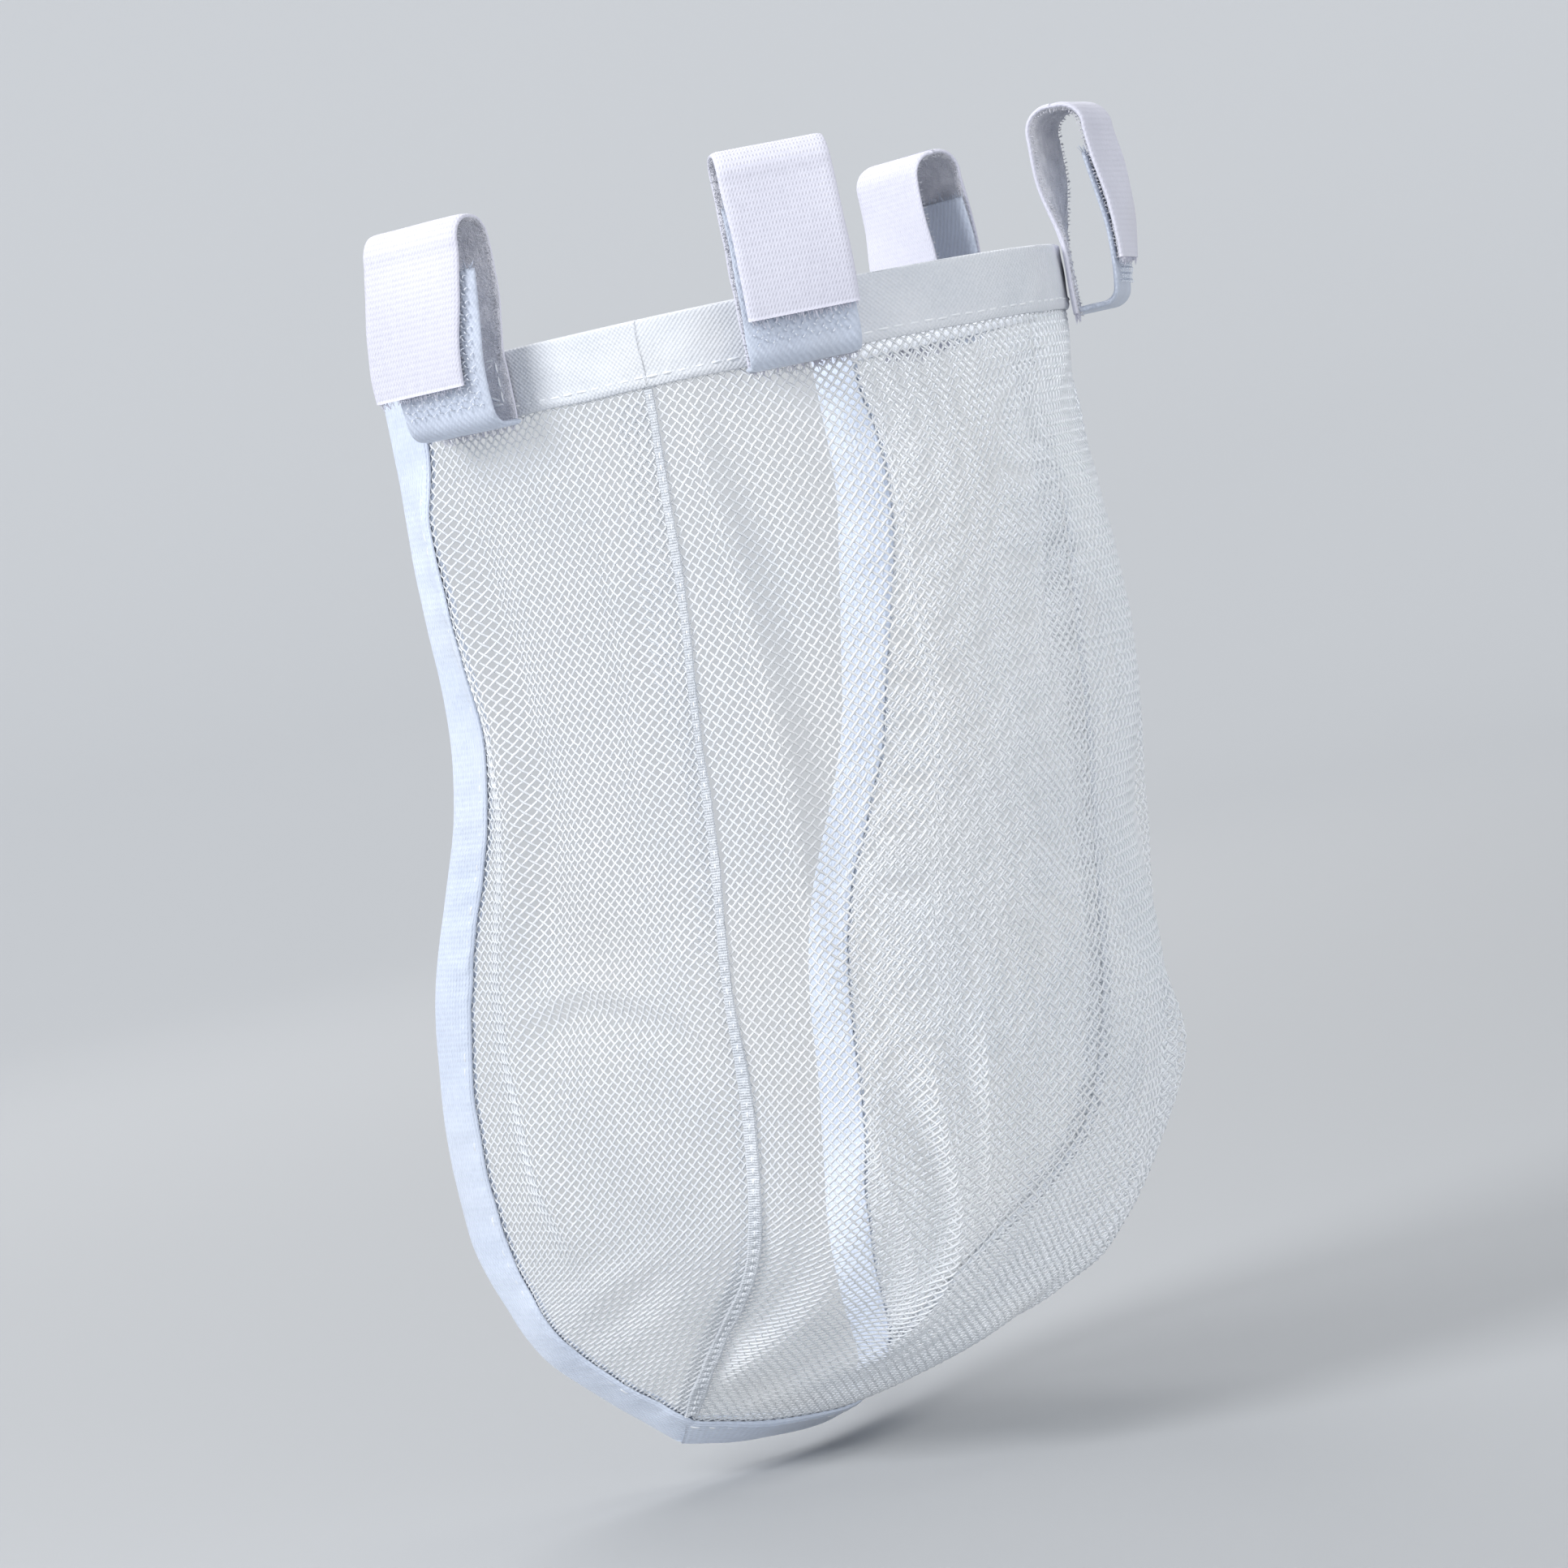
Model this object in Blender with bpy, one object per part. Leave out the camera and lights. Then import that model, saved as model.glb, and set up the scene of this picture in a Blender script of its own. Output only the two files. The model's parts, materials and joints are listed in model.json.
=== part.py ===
"""Muzzle fly net for a bridle.

A cup of fine mesh in three panels (one front panel that curls under the chin and two side panels) hangs from
the noseband by four hook-and-loop tabs.  Row frame: +Z up the nose, -Y out of the front of the nose, +X to the
horse's left.  z = 0 is the height of the noseband's lower edge.  The origin is on the outer face of the front hem,
on the centre plane.
"""
import math

import bmesh
import bpy
from mathutils import Matrix, Vector

MM = 0.001

# ---- driving dimensions, millimetres ---------------------------------------------------------------------------
HEM_TOP = 10.0          # top of the folded hem above the noseband's lower edge
HEM_LOW = -2.0          # bottom of the folded hem
MESH_THICK = 1.0        # thickness of a mesh panel
GAP = 0.3               # clearance between neighbouring pieces
HEM_WALL = 0.5          # one layer of hem tape
SEAM_GAP = 0.8          # each panel stops this far from the seam line
STRIP_HALF = 2.0        # half width of the seam allowance strip
STRIP_THICK = 0.7
BIND_WIDTH = 10.0       # visible width of the stretch binding
BIND_WALL = 0.7
TAPE_WIDTH = 20.0       # hook-and-loop tape
TAPE_THICK = 1.2
NOSEBAND_HEIGHT = 33.0  # strap the tabs are made for
BACK_LEG = 1.75         # tape centre line behind the noseband, outwards from the mesh
HOOK_LEG = 10.6         # hook tail centre line in front of the noseband
FLAP_LEG = 12.35        # loop flap centre line over the hook tail
BRIDGE_Z = NOSEBAND_HEIGHT + 0.5 + TAPE_THICK / 2
FLAP_TOP = 31.0         # where the flap leaves the fold over the noseband
FLAP_LOW = 5.0          # square-cut end of the loop flap
HOOK_TOP = 25.0         # top end of the hook tail
FOOT_LOW = -3.4
INNER_TAB_ANGLE = 40.5  # degrees round the nose from the centre line
OUTER_TAB_FRACTION = 0.587  # share of the side panel's top edge, from the seam

NOSE_RADIUS = 55.0
SEAM_X = 51.7
SEAM_Y = NOSE_RADIUS - math.sqrt(NOSE_RADIUS ** 2 - SEAM_X ** 2)

FRONT_COLUMNS = 15      # odd, so that one flat facet sits on the centre plane
ROWS = 20
SIDE_BOW = 3.0          # how far a side panel bulges beyond a straight line

# ---- design stations down the net: t, then millimetres (x, back, down) --------------------------------------------
SEAM = (
    (0.00, SEAM_X, SEAM_Y, -9.0),
    (0.10, SEAM_X, SEAM_Y, 6.0),
    (0.20, 52.3, 37.8, 35.0),
    (0.35, 52.3, 41.0, 72.5),
    (0.50, 51.2, 47.5, 108.0),
    (0.60, 50.0, 50.8, 131.0),
    (0.70, 48.0, 56.5, 152.0),
    (0.76, 44.5, 64.5, 163.0),
    (0.84, 38.0, 82.0, 176.0),
    (0.92, 32.0, 97.0, 187.5),
    (1.00, 26.0, 111.0, 198.0),
)
CENTRE = (
    (0.00, 0.0, 0.0, -9.0),
    (0.10, 0.0, 0.0, 6.0),
    (0.20, 0.0, 0.0, 35.0),
    (0.35, 0.0, 0.0, 71.5),
    (0.50, 0.0, 6.0, 110.0),
    (0.60, 0.0, 9.5, 134.5),
    (0.70, 0.0, 17.0, 156.5),
    (0.76, 0.0, 28.0, 171.0),
    (0.84, 0.0, 49.0, 184.5),
    (0.92, 0.0, 76.0, 194.0),
    (1.00, 0.0, 105.0, 201.5),
)
EDGE = (
    (0.00, 57.0, 99.0, -9.0),
    (0.10, 57.0, 99.0, 6.0),
    (0.20, 56.0, 99.5, 33.0),
    (0.35, 54.5, 107.0, 71.5),
    (0.50, 52.5, 123.5, 107.0),
    (0.60, 51.0, 130.5, 131.0),
    (0.70, 49.0, 132.5, 152.0),
    (0.76, 46.5, 131.0, 163.0),
    (0.84, 41.5, 126.5, 176.5),
    (0.92, 33.8, 118.5, 188.0),
    (1.00, 26.0, 111.0, 198.0),
)
PANEL_END = 0.91        # t where the side panel stops, short of the corner
STRIP_END = 0.955       # t where the seam strip stops
BIND_END = 0.972        # t where the edge binding stops


def station(table, t):
    """A smooth curve through the stations, with slopes from their neighbours."""
    k = len(table) - 2
    for i in range(len(table) - 1):
        if t <= table[i + 1][0]:
            k = i
            break

    def slope(i):
        if i == 0:
            a, b = table[0], table[1]
        elif i == len(table) - 1:
            a, b = table[-2], table[-1]
        else:
            a, b = table[i - 1], table[i + 1]
        return [(q - p) / (b[0] - a[0]) for p, q in zip(a[1:], b[1:])]

    lo, hi = table[k], table[k + 1]
    h = hi[0] - lo[0]
    u = (t - lo[0]) / h
    m0, m1 = slope(k), slope(k + 1)
    if k == 0:  # the top zone under the hem is straight
        return Vector([p + (q - p) * u for p, q in zip(lo[1:], hi[1:])])
    if k == 1:
        m0 = [(q - p) / (table[1][0] - table[0][0]) for p, q in zip(table[0][1:], table[1][1:])]
    out = []
    for p, q, a, b in zip(lo[1:], hi[1:], m0, m1):
        out.append(
            (2 * u ** 3 - 3 * u ** 2 + 1) * p + (u ** 3 - 2 * u ** 2 + u) * h * a
            + (-2 * u ** 3 + 3 * u ** 2) * q + (u ** 3 - u ** 2) * h * b
        )
    return Vector(out)


def to_row(p):
    """(x, back, down) to row axes, still in millimetres."""
    return Vector((p[0], p[1] - FRONT_FACE, -p[2]))


def arc(t):
    """Chord middle, bow direction, radius and half angle of the front panel's cross arc at t."""
    s, c = station(SEAM, t), station(CENTRE, t)
    mid = Vector((0.0, s[1], s[2]))
    sag = (c - mid).length
    a = s[0]
    radius = (a * a + sag * sag) / (2 * sag)
    half = math.atan2(a, radius - sag)
    return mid, (c - mid).normalized(), radius, half


def front_point(angle_share, t):
    """Outer face of the front panel: angle_share -1 at the right seam, +1 at the left seam."""
    mid, bow, radius, half = arc(t)
    phi = half * angle_share
    return mid + bow * (radius * (math.cos(phi) - math.cos(half))) + Vector((radius * math.sin(phi), 0, 0))


def side_point(share, t):
    """Outer face of the left side panel: share 0 at the seam, 1 at the bound edge."""
    s, e = station(SEAM, t), station(EDGE, t)
    width = (e - s).length
    bow = SIDE_BOW * min(1.0, width / 60.0)
    p = s.lerp(e, share)
    return p + Vector((bow * 4 * share * (1 - share), 0, 0))


def normal_of(surface, a, t, outward):
    """Unit normal of a surface function by differences, pointing along outward."""
    d = 1e-3
    da = surface(min(a + d, 1.0), t) - surface(max(a - d, -1.0 if surface is front_point else 0.0), t)
    dt = surface(a, min(t + d, 1.0)) - surface(a, max(t - d, 0.0))
    n = da.cross(dt).normalized()
    return n if n.dot(outward) > 0 else -n


def front_normal(a, t):
    mid, bow, radius, half = arc(t)
    outward = bow * math.cos(half * a) + Vector((math.sin(half * a), 0, 0))
    return normal_of(front_point, a, t, outward)


def side_normal(share, t):
    return normal_of(side_point, share, min(t, 0.985), Vector((1, 0, 0)))


# half the width of one facet at the top of the front panel sets how far the centre facet lies behind the arc
SEAM_INSET_ANGLE = SEAM_GAP / NOSE_RADIUS
TOP_HALF = math.asin(SEAM_X / NOSE_RADIUS)
FACET_HALF = (TOP_HALF - SEAM_INSET_ANGLE) / FRONT_COLUMNS
HEM_FACE = GAP + HEM_WALL
FRONT_FACE = NOSE_RADIUS - (NOSE_RADIUS + HEM_FACE) * math.cos(FACET_HALF)


# ---- mesh helpers ---------------------------------------------------------------------------------------------
def material(name, colour, roughness, metallic=0.0):
    m = bpy.data.materials.new(name)
    m.use_nodes = True
    b = m.node_tree.nodes["Principled BSDF"]
    b.inputs["Base Color"].default_value = (*colour, 1.0)
    b.inputs["Roughness"].default_value = roughness
    b.inputs["Metallic"].default_value = metallic
    m.diffuse_color = (*colour, 1.0)
    return m


def finish_object(name, bm, mat, parent=None, matrix=None, smooth=True):
    bmesh.ops.recalc_face_normals(bm, faces=bm.faces)
    me = bpy.data.meshes.new(name)
    bm.to_mesh(me)
    bm.free()
    if smooth:
        me.shade_smooth()
        me.set_sharp_from_angle(angle=math.radians(35))
    me.materials.append(mat)
    ob = bpy.data.objects.new(name, me)
    bpy.context.scene.collection.objects.link(ob)
    if parent is not None:
        ob.parent = parent
    if matrix is not None:
        ob.matrix_local = matrix
    return ob


def mirrored(points, side):
    return [Vector((p[0] * side, p[1], p[2])) for p in points]


def sheet(name, grid, mat, thickness, side=1):
    """A grid of points made into a panel by Solidify, which thickens it inwards."""
    bm = bmesh.new()
    rows = [[bm.verts.new(Vector((p[0] * side, p[1], p[2])) * MM) for p in row] for row in grid]
    for r0, r1 in zip(rows, rows[1:]):
        for i in range(len(r0) - 1):
            quad = (r0[i], r0[i + 1], r1[i + 1], r1[i])
            bm.faces.new(quad[::-1] if side > 0 else quad)
    me = bpy.data.meshes.new(name)
    bm.to_mesh(me)
    bm.free()
    me.shade_smooth()
    me.set_sharp_from_angle(angle=math.radians(40))
    me.materials.append(mat)
    ob = bpy.data.objects.new(name, me)
    bpy.context.scene.collection.objects.link(ob)
    solid = ob.modifiers.new("mesh_thickness", "SOLIDIFY")
    solid.thickness = thickness * MM
    solid.offset = -1.0
    solid.use_even_offset = True
    return ob


def sweep(name, rings, mat):
    """Closed solid through rings of equal point count, with filled ends."""
    bm = bmesh.new()
    loops = [[bm.verts.new(p * MM) for p in ring] for ring in rings]
    n = len(loops[0])
    for a, b in zip(loops, loops[1:]):
        for i in range(n):
            j = (i + 1) % n
            bm.faces.new((a[i], a[j], b[j], b[i]))
    bm.faces.new(loops[0][::-1])
    bm.faces.new(loops[-1])
    return finish_object(name, bm, mat)


def channel(reach, wall, top, bottom, inner_top):
    """U section as (into the panel, outwards): the fold is at 0, both walls reach in over the mesh."""
    return [
        (0.0, top), (reach, top), (reach, top - wall), (inner_top, top - wall),
        (inner_top, bottom + wall), (reach, bottom + wall), (reach, bottom), (0.0, bottom),
    ]


def fillet(points, radii, steps=4):
    """A polyline with its inner corners rounded."""
    out = [Vector(points[0])]
    for i in range(1, len(points) - 1):
        p, a, b = Vector(points[i]), Vector(points[i - 1]), Vector(points[i + 1])
        u, v = (a - p).normalized(), (b - p).normalized()
        half = math.acos(max(-1.0, min(1.0, u.dot(v)))) / 2
        reach = radii[i - 1] / math.tan(half)
        centre = p + (u + v).normalized() * (radii[i - 1] / math.sin(half))
        start, end = p + u * reach - centre, p + v * reach - centre
        turn = math.atan2(start.x * end.y - start.y * end.x, start.dot(end))
        for k in range(steps + 1):
            ang = turn * k / steps
            c, s = math.cos(ang), math.sin(ang)
            out.append(centre + Vector((start.x * c - start.y * s, start.x * s + start.y * c)))
    out.append(Vector(points[-1]))
    return out


def tape(name, path, origin, mat, parent, width=TAPE_WIDTH, thick=TAPE_THICK, chamfer=0.0):
    """A flat tape bent along path (outwards, up), extruded across its width.  origin: its hinge point, or its foot."""
    pts = [Vector(p) for p in path]
    left, right = [], []
    for i, p in enumerate(pts):
        d0 = (p - pts[i - 1]).normalized() if i else (pts[1] - p).normalized()
        d1 = (pts[i + 1] - p).normalized() if i < len(pts) - 1 else d0
        d = (d0 + d1).normalized()
        stretch = 1.0 / max(0.3, d.dot(d1))
        nrm = Vector((-d.y, d.x)) * (thick / 2 * stretch)
        left.append(p + nrm)
        right.append(p - nrm)
    outline = left + right[::-1]
    bm = bmesh.new()
    face = bm.faces.new([bm.verts.new(Vector((-width / 2, q.x - origin[0], q.y - origin[1])) * MM) for q in outline])
    got = bmesh.ops.extrude_face_region(bm, geom=[face])
    moved = [g for g in got["geom"] if isinstance(g, bmesh.types.BMVert)]
    bmesh.ops.translate(bm, verts=moved, vec=Vector((width * MM, 0, 0)))
    return finish_object(name, bm, mat, parent, Matrix.Translation(Vector((0, origin[0], origin[1])) * MM))


def frame_ring(name, half_w, z0, z1, line, out0, out1, mat, parent):
    """A rectangular ring of thread lying on a tab foot."""
    bm = bmesh.new()
    outer = [(-half_w, z0), (half_w, z0), (half_w, z1), (-half_w, z1)]
    inner = [(-half_w + line, z0 + line), (half_w - line, z0 + line), (half_w - line, z1 - line), (-half_w + line, z1 - line)]
    layers = []
    for w in (out0, out1):
        layers.append([[bm.verts.new(Vector((x, w, z)) * MM) for x, z in loop] for loop in (outer, inner)])
    for i in range(4):
        j = (i + 1) % 4
        for lay, turn in ((layers[0], 1), (layers[1], -1)):
            q = (lay[0][i], lay[0][j], lay[1][j], lay[1][i])
            bm.faces.new(q[::turn])
        bm.faces.new((layers[0][0][j], layers[0][0][i], layers[1][0][i], layers[1][0][j]))
        bm.faces.new((layers[0][1][i], layers[0][1][j], layers[1][1][j], layers[1][1][i]))
    return finish_object(name, bm, mat, parent)


# ---- start from an empty file ----------------------------------------------------------------------------------
for ob in list(bpy.data.objects):
    bpy.data.objects.remove(ob, do_unlink=True)

net = material("white_polyester_net", (0.86, 0.88, 0.90), 0.75)
hem_tape = material("white_hem_tape", (0.88, 0.89, 0.91), 0.7)
seam_tape = material("white_seam_tape", (0.85, 0.87, 0.90), 0.7)
stretch = material("white_stretch_binding", (0.74, 0.80, 0.92), 0.6)
loop = material("loop_tape", (0.80, 0.80, 0.88), 0.9)
hook = material("hook_tape", (0.62, 0.67, 0.78), 0.55)
thread = material("white_thread", (0.90, 0.91, 0.93), 0.6)

NAMES = {1: "left", -1: "right"}
T_ROWS = [0.0, 0.05, 0.10] + [0.10 + 0.90 * (i / (ROWS - 2)) for i in range(1, ROWS - 1)]


def front_share(i, t, inset=SEAM_GAP):
    """Angle share of column i, stopping inset short of both seams."""
    _, _, radius, half = arc(t)
    limit = 1.0 - inset / (radius * half)
    return limit * (-1.0 + 2.0 * i / FRONT_COLUMNS)


def chin_inset(t_goal_mm):
    """t at which the front panel's centre line is this far short of the chin edge."""
    c1 = station(CENTRE, 1.0)
    t = 1.0
    while (station(CENTRE, t) - c1).length < t_goal_mm:
        t -= 0.0005
    return t


# ---- mesh panels ------------------------------------------------------------------------------------------------
chin_t = chin_inset(1.15)
front_rows = [t for t in T_ROWS if t < chin_t - 0.01] + [chin_inset(BIND_WIDTH + 0.5), chin_t]
front_rows.sort()
grid = [
    [to_row(front_point(front_share(i, t), t)) for i in range(FRONT_COLUMNS + 1)]
    for t in front_rows
]
sheet("front_panel", grid, net, MESH_THICK)


def side_shares(t):
    """Columns across a side panel: tight under the seam strip and under the binding."""
    width = (station(EDGE, t) - station(SEAM, t)).length
    near = [SEAM_GAP, STRIP_HALF + 0.3]
    far = [width - BIND_WIDTH - 0.3, width - 1.15]
    inner = [near[1] + (far[0] - near[1]) * k / 5 for k in range(1, 5)]
    return [d / width for d in near + inner + far]


side_rows = [t for t in T_ROWS if t < PANEL_END - 0.01] + [PANEL_END]
for side in (1, -1):
    grid = [[to_row(side_point(a, t)) for a in side_shares(t)] for t in side_rows]
    sheet("side_panel_" + NAMES[side], grid, net, MESH_THICK, side)


# ---- seam strips and their topstitching ------------------------------------------------------------------------
def seam_section(t, low, high, reach_front, reach_side):
    """Points over the seam, following the front panel on one side and the side panel on the other."""
    _, _, radius, half = arc(t)
    width = (station(EDGE, t) - station(SEAM, t)).length
    stops = []
    for d in reach_front:
        a = 1.0 - d / (radius * half)
        stops.append((front_point(a, t), front_normal(a, t)))
    n_seam = (front_normal(0.999, t) + side_normal(0.001, t)).normalized()
    if reach_side:
        stops.append((station(SEAM, t), n_seam))
    for d in reach_side:
        a = d / width
        stops.append((side_point(a, t), side_normal(a, t)))
    upper = [p + n * high for p, n in stops]
    lower = [p + n * low for p, n in stops]
    return [to_row(p) for p in upper + lower[::-1]]


def t_at_down(table, down):
    """t where a curve reaches a height, measured down from the noseband's lower edge."""
    lo, hi = 0.0, 1.0
    for _ in range(40):
        mid = (lo + hi) / 2
        if station(table, mid)[2] < down:
            lo = mid
        else:
            hi = mid
    return lo


strip_top = t_at_down(SEAM, -HEM_LOW + 0.4)
strip_rows = [strip_top] + [t for t in T_ROWS if strip_top + 0.01 < t < STRIP_END - 0.01] + [STRIP_END]
for side in (1, -1):
    rings = [mirrored(seam_section(t, GAP, GAP + STRIP_THICK, (STRIP_HALF,), (STRIP_HALF,)), side) for t in strip_rows]
    sweep("seam_strip_" + NAMES[side], rings, seam_tape)
    low = GAP + STRIP_THICK + GAP
    rings = [mirrored(seam_section(t, low, low + 0.4, (1.7, 1.2), ()), side) for t in strip_rows]
    sweep("seam_thread_" + NAMES[side], rings, thread)


# ---- folded hems along the top edge ------------------------------------------------------------------------------
HEM_PROFILE = channel(HEM_TOP - HEM_LOW, HEM_WALL, HEM_FACE, -MESH_THICK - GAP - HEM_WALL, 0.7)


def hem_ring(point, normal, profile):
    """A vertical U section over the top edge of a panel."""
    flat = Vector((normal[0], normal[1], 0)).normalized()
    base = to_row(point)
    return [Vector((base.x, base.y, HEM_TOP)) + Vector((flat.x, flat.y, 0)) * n - Vector((0, 0, a)) for a, n in profile]


rings = []
for i in range(FRONT_COLUMNS + 1):
    a = front_share(i, 0.0)
    rings.append(hem_ring(front_point(a, 0.0), Vector((math.sin(TOP_HALF * a), -math.cos(TOP_HALF * a), 0)), HEM_PROFILE))
sweep("hem_front", rings, hem_tape)

width0 = (station(EDGE, 0.0) - station(SEAM, 0.0)).length
hem_shares = [a for a in side_shares(0.0)[:-2]] + [(width0 - BIND_WIDTH - 0.8) / width0]
for side in (1, -1):
    rings = [mirrored(hem_ring(side_point(a, 0.0), side_normal(a, 0.0), HEM_PROFILE), side) for a in hem_shares]
    sweep("hem_" + NAMES[side], rings, hem_tape)


# ---- stretch binding round the open edge -------------------------------------------------------------------------
def edge_ring(t, reach):
    """U section over the rear edge of the left side panel."""
    share = 1.0
    n = side_normal(0.995, t)
    width = (station(EDGE, t) - station(SEAM, t)).length
    into = (side_point(1.0 - min(0.3, 6.0 / width), t) - side_point(share, t)).normalized()
    base = side_point(share, t)
    wide = channel(reach, BIND_WALL, GAP + BIND_WALL, -MESH_THICK - GAP - BIND_WALL, 0.8)
    return [to_row(base + into * a + n * h) for a, h in wide]


edge_rows = [t for t in T_ROWS if t < PANEL_END - 0.01] + [PANEL_END, STRIP_END, BIND_END]
for side in (1, -1):
    rings = []
    for t in edge_rows:
        width = (station(EDGE, t) - station(SEAM, t)).length
        rings.append(mirrored(edge_ring(t, min(BIND_WIDTH, width - STRIP_HALF - 0.8)), side))
    sweep("edge_binding_" + NAMES[side], rings, stretch)


def chin_ring(share):
    """U section over the chin edge of the front panel."""
    base = front_point(share, 1.0)
    into = (front_point(share, chin_inset(6.0)) - base).normalized()
    n = front_normal(share, 0.985)
    n = (n - into * n.dot(into)).normalized()
    wide = channel(BIND_WIDTH, BIND_WALL, GAP + BIND_WALL, -MESH_THICK - GAP - BIND_WALL, 0.8)
    return [to_row(base + into * a + n * h) for a, h in wide]


_, _, chin_radius, chin_half = arc(1.0)
chin_limit = 1.0 - 2.6 / (chin_radius * chin_half)
rings = [chin_ring(chin_limit * (-1.0 + 2.0 * i / FRONT_COLUMNS)) for i in range(FRONT_COLUMNS + 1)]
sweep("chin_binding", rings, stretch)


# ---- the four hook-and-loop tabs ----------------------------------------------------------------------------------
FOOT_IN = BACK_LEG - TAPE_THICK / 2
STRAP_HINGE = (FOOT_IN, HEM_TOP + 0.15)
BRIDGE_END = 9.3        # the soft fold between the bridge and the flap is left open, so that the flap can turn in it
FLAP_HINGE = (11.65, 33.4)
HOOK_HINGE = (BACK_LEG + TAPE_THICK / 2 + GAP / 2, FOOT_LOW - 0.05)
STRAP_PATH = fillet(
    [(BACK_LEG, HEM_TOP + GAP), (BACK_LEG, BRIDGE_Z), (BRIDGE_END, BRIDGE_Z)], [2.4]
)
FLAP_PATH = [(FLAP_LEG, FLAP_TOP), (FLAP_LEG, FLAP_LOW)]
HOOK_PATH = fillet(
    [
        (BACK_LEG + TAPE_THICK / 2 + GAP, FOOT_LOW + TAPE_THICK / 2),
        (HOOK_LEG, FOOT_LOW + TAPE_THICK / 2),
        (HOOK_LEG, HOOK_TOP),
    ],
    [3.0],
)


def tab(name, point, normal):
    base = to_row(point)
    flat = Vector((normal[0], normal[1], 0)).normalized()
    across = Vector((0, 0, 1)).cross(flat) * -1.0
    empty = bpy.data.objects.new("tab_frame_" + name, None)
    bpy.context.scene.collection.objects.link(empty)
    # local X across the tape, local Y outwards from the net, local Z up
    empty.matrix_world = Matrix((
        (across.x, flat.x, 0, base.x * MM),
        (across.y, flat.y, 0, base.y * MM),
        (0, 0, 1, 0),
        (0, 0, 0, 1),
    ))
    tape("tab_foot_" + name, [(BACK_LEG, FOOT_LOW), (BACK_LEG, HEM_TOP)], (BACK_LEG, 0.0), loop, empty)
    tape("loop_strap_" + name, STRAP_PATH, STRAP_HINGE, loop, empty)
    tape("loop_flap_" + name, FLAP_PATH, FLAP_HINGE, loop, empty)
    tape("hook_tail_" + name, HOOK_PATH, HOOK_HINGE, hook, empty)
    face = BACK_LEG + TAPE_THICK / 2 + GAP
    frame_ring("stitch_box_" + name, 8.0, 0.5, 8.5, 0.6, face, face + 0.4, thread, empty)


inner = INNER_TAB_ANGLE / math.degrees(TOP_HALF)
outer_n = side_normal(OUTER_TAB_FRACTION, 0.05)
outer_p = side_point(OUTER_TAB_FRACTION, 0.0)
for side in (1, -1):
    p = front_point(inner, 0.0)
    n = Vector((math.sin(math.radians(INNER_TAB_ANGLE)), -math.cos(math.radians(INNER_TAB_ANGLE)), 0))
    tab("inner_" + NAMES[side], Vector((p.x * side, p.y, p.z)), Vector((n.x * side, n.y, 0)))
    tab("outer_" + NAMES[side], Vector((outer_p.x * side, outer_p.y, outer_p.z)), Vector((outer_n.x * side, outer_n.y, 0)))
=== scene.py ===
"""Looks of a muzzle fly net for a bridle: real strand netting, folded tapes, stitches and hook-and-loop tabs.

Row frame: +Z up the nose, -Y out of the front of the nose, +X to the horse's left.  The surfaces below are the ones
the CAD model is built on, in millimetres, with the folds and ripples of the worn cloth added.
"""

import json
import math

import bpy
import numpy as np
from mathutils import Matrix, Vector


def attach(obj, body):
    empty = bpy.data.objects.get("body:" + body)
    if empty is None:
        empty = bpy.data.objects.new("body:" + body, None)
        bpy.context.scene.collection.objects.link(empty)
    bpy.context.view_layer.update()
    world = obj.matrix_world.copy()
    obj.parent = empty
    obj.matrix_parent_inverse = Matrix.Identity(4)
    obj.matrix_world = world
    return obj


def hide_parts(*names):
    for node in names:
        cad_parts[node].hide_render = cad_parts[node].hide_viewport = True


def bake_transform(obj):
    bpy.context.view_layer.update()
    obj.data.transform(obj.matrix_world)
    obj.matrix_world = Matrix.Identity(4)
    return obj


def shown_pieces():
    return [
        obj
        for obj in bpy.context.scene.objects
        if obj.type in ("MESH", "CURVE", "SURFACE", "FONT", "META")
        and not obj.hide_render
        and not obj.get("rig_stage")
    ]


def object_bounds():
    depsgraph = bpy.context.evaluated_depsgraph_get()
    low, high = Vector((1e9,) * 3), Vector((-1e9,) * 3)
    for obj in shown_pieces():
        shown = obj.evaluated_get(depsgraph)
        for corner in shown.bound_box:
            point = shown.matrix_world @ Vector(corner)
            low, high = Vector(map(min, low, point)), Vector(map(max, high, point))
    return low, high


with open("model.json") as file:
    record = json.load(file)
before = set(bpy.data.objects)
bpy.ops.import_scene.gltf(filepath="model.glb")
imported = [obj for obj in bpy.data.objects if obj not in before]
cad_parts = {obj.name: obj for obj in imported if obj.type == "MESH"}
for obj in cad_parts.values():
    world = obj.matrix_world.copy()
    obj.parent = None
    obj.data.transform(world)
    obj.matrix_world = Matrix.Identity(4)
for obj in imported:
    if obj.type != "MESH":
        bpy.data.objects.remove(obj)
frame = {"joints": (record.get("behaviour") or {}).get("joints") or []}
CAD_LO, CAD_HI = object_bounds()
JOINTS = {j["name"]: j for j in frame["joints"]}
MM = 0.001
SIDES = (("left", 1.0), ("right", -1.0))

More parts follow.
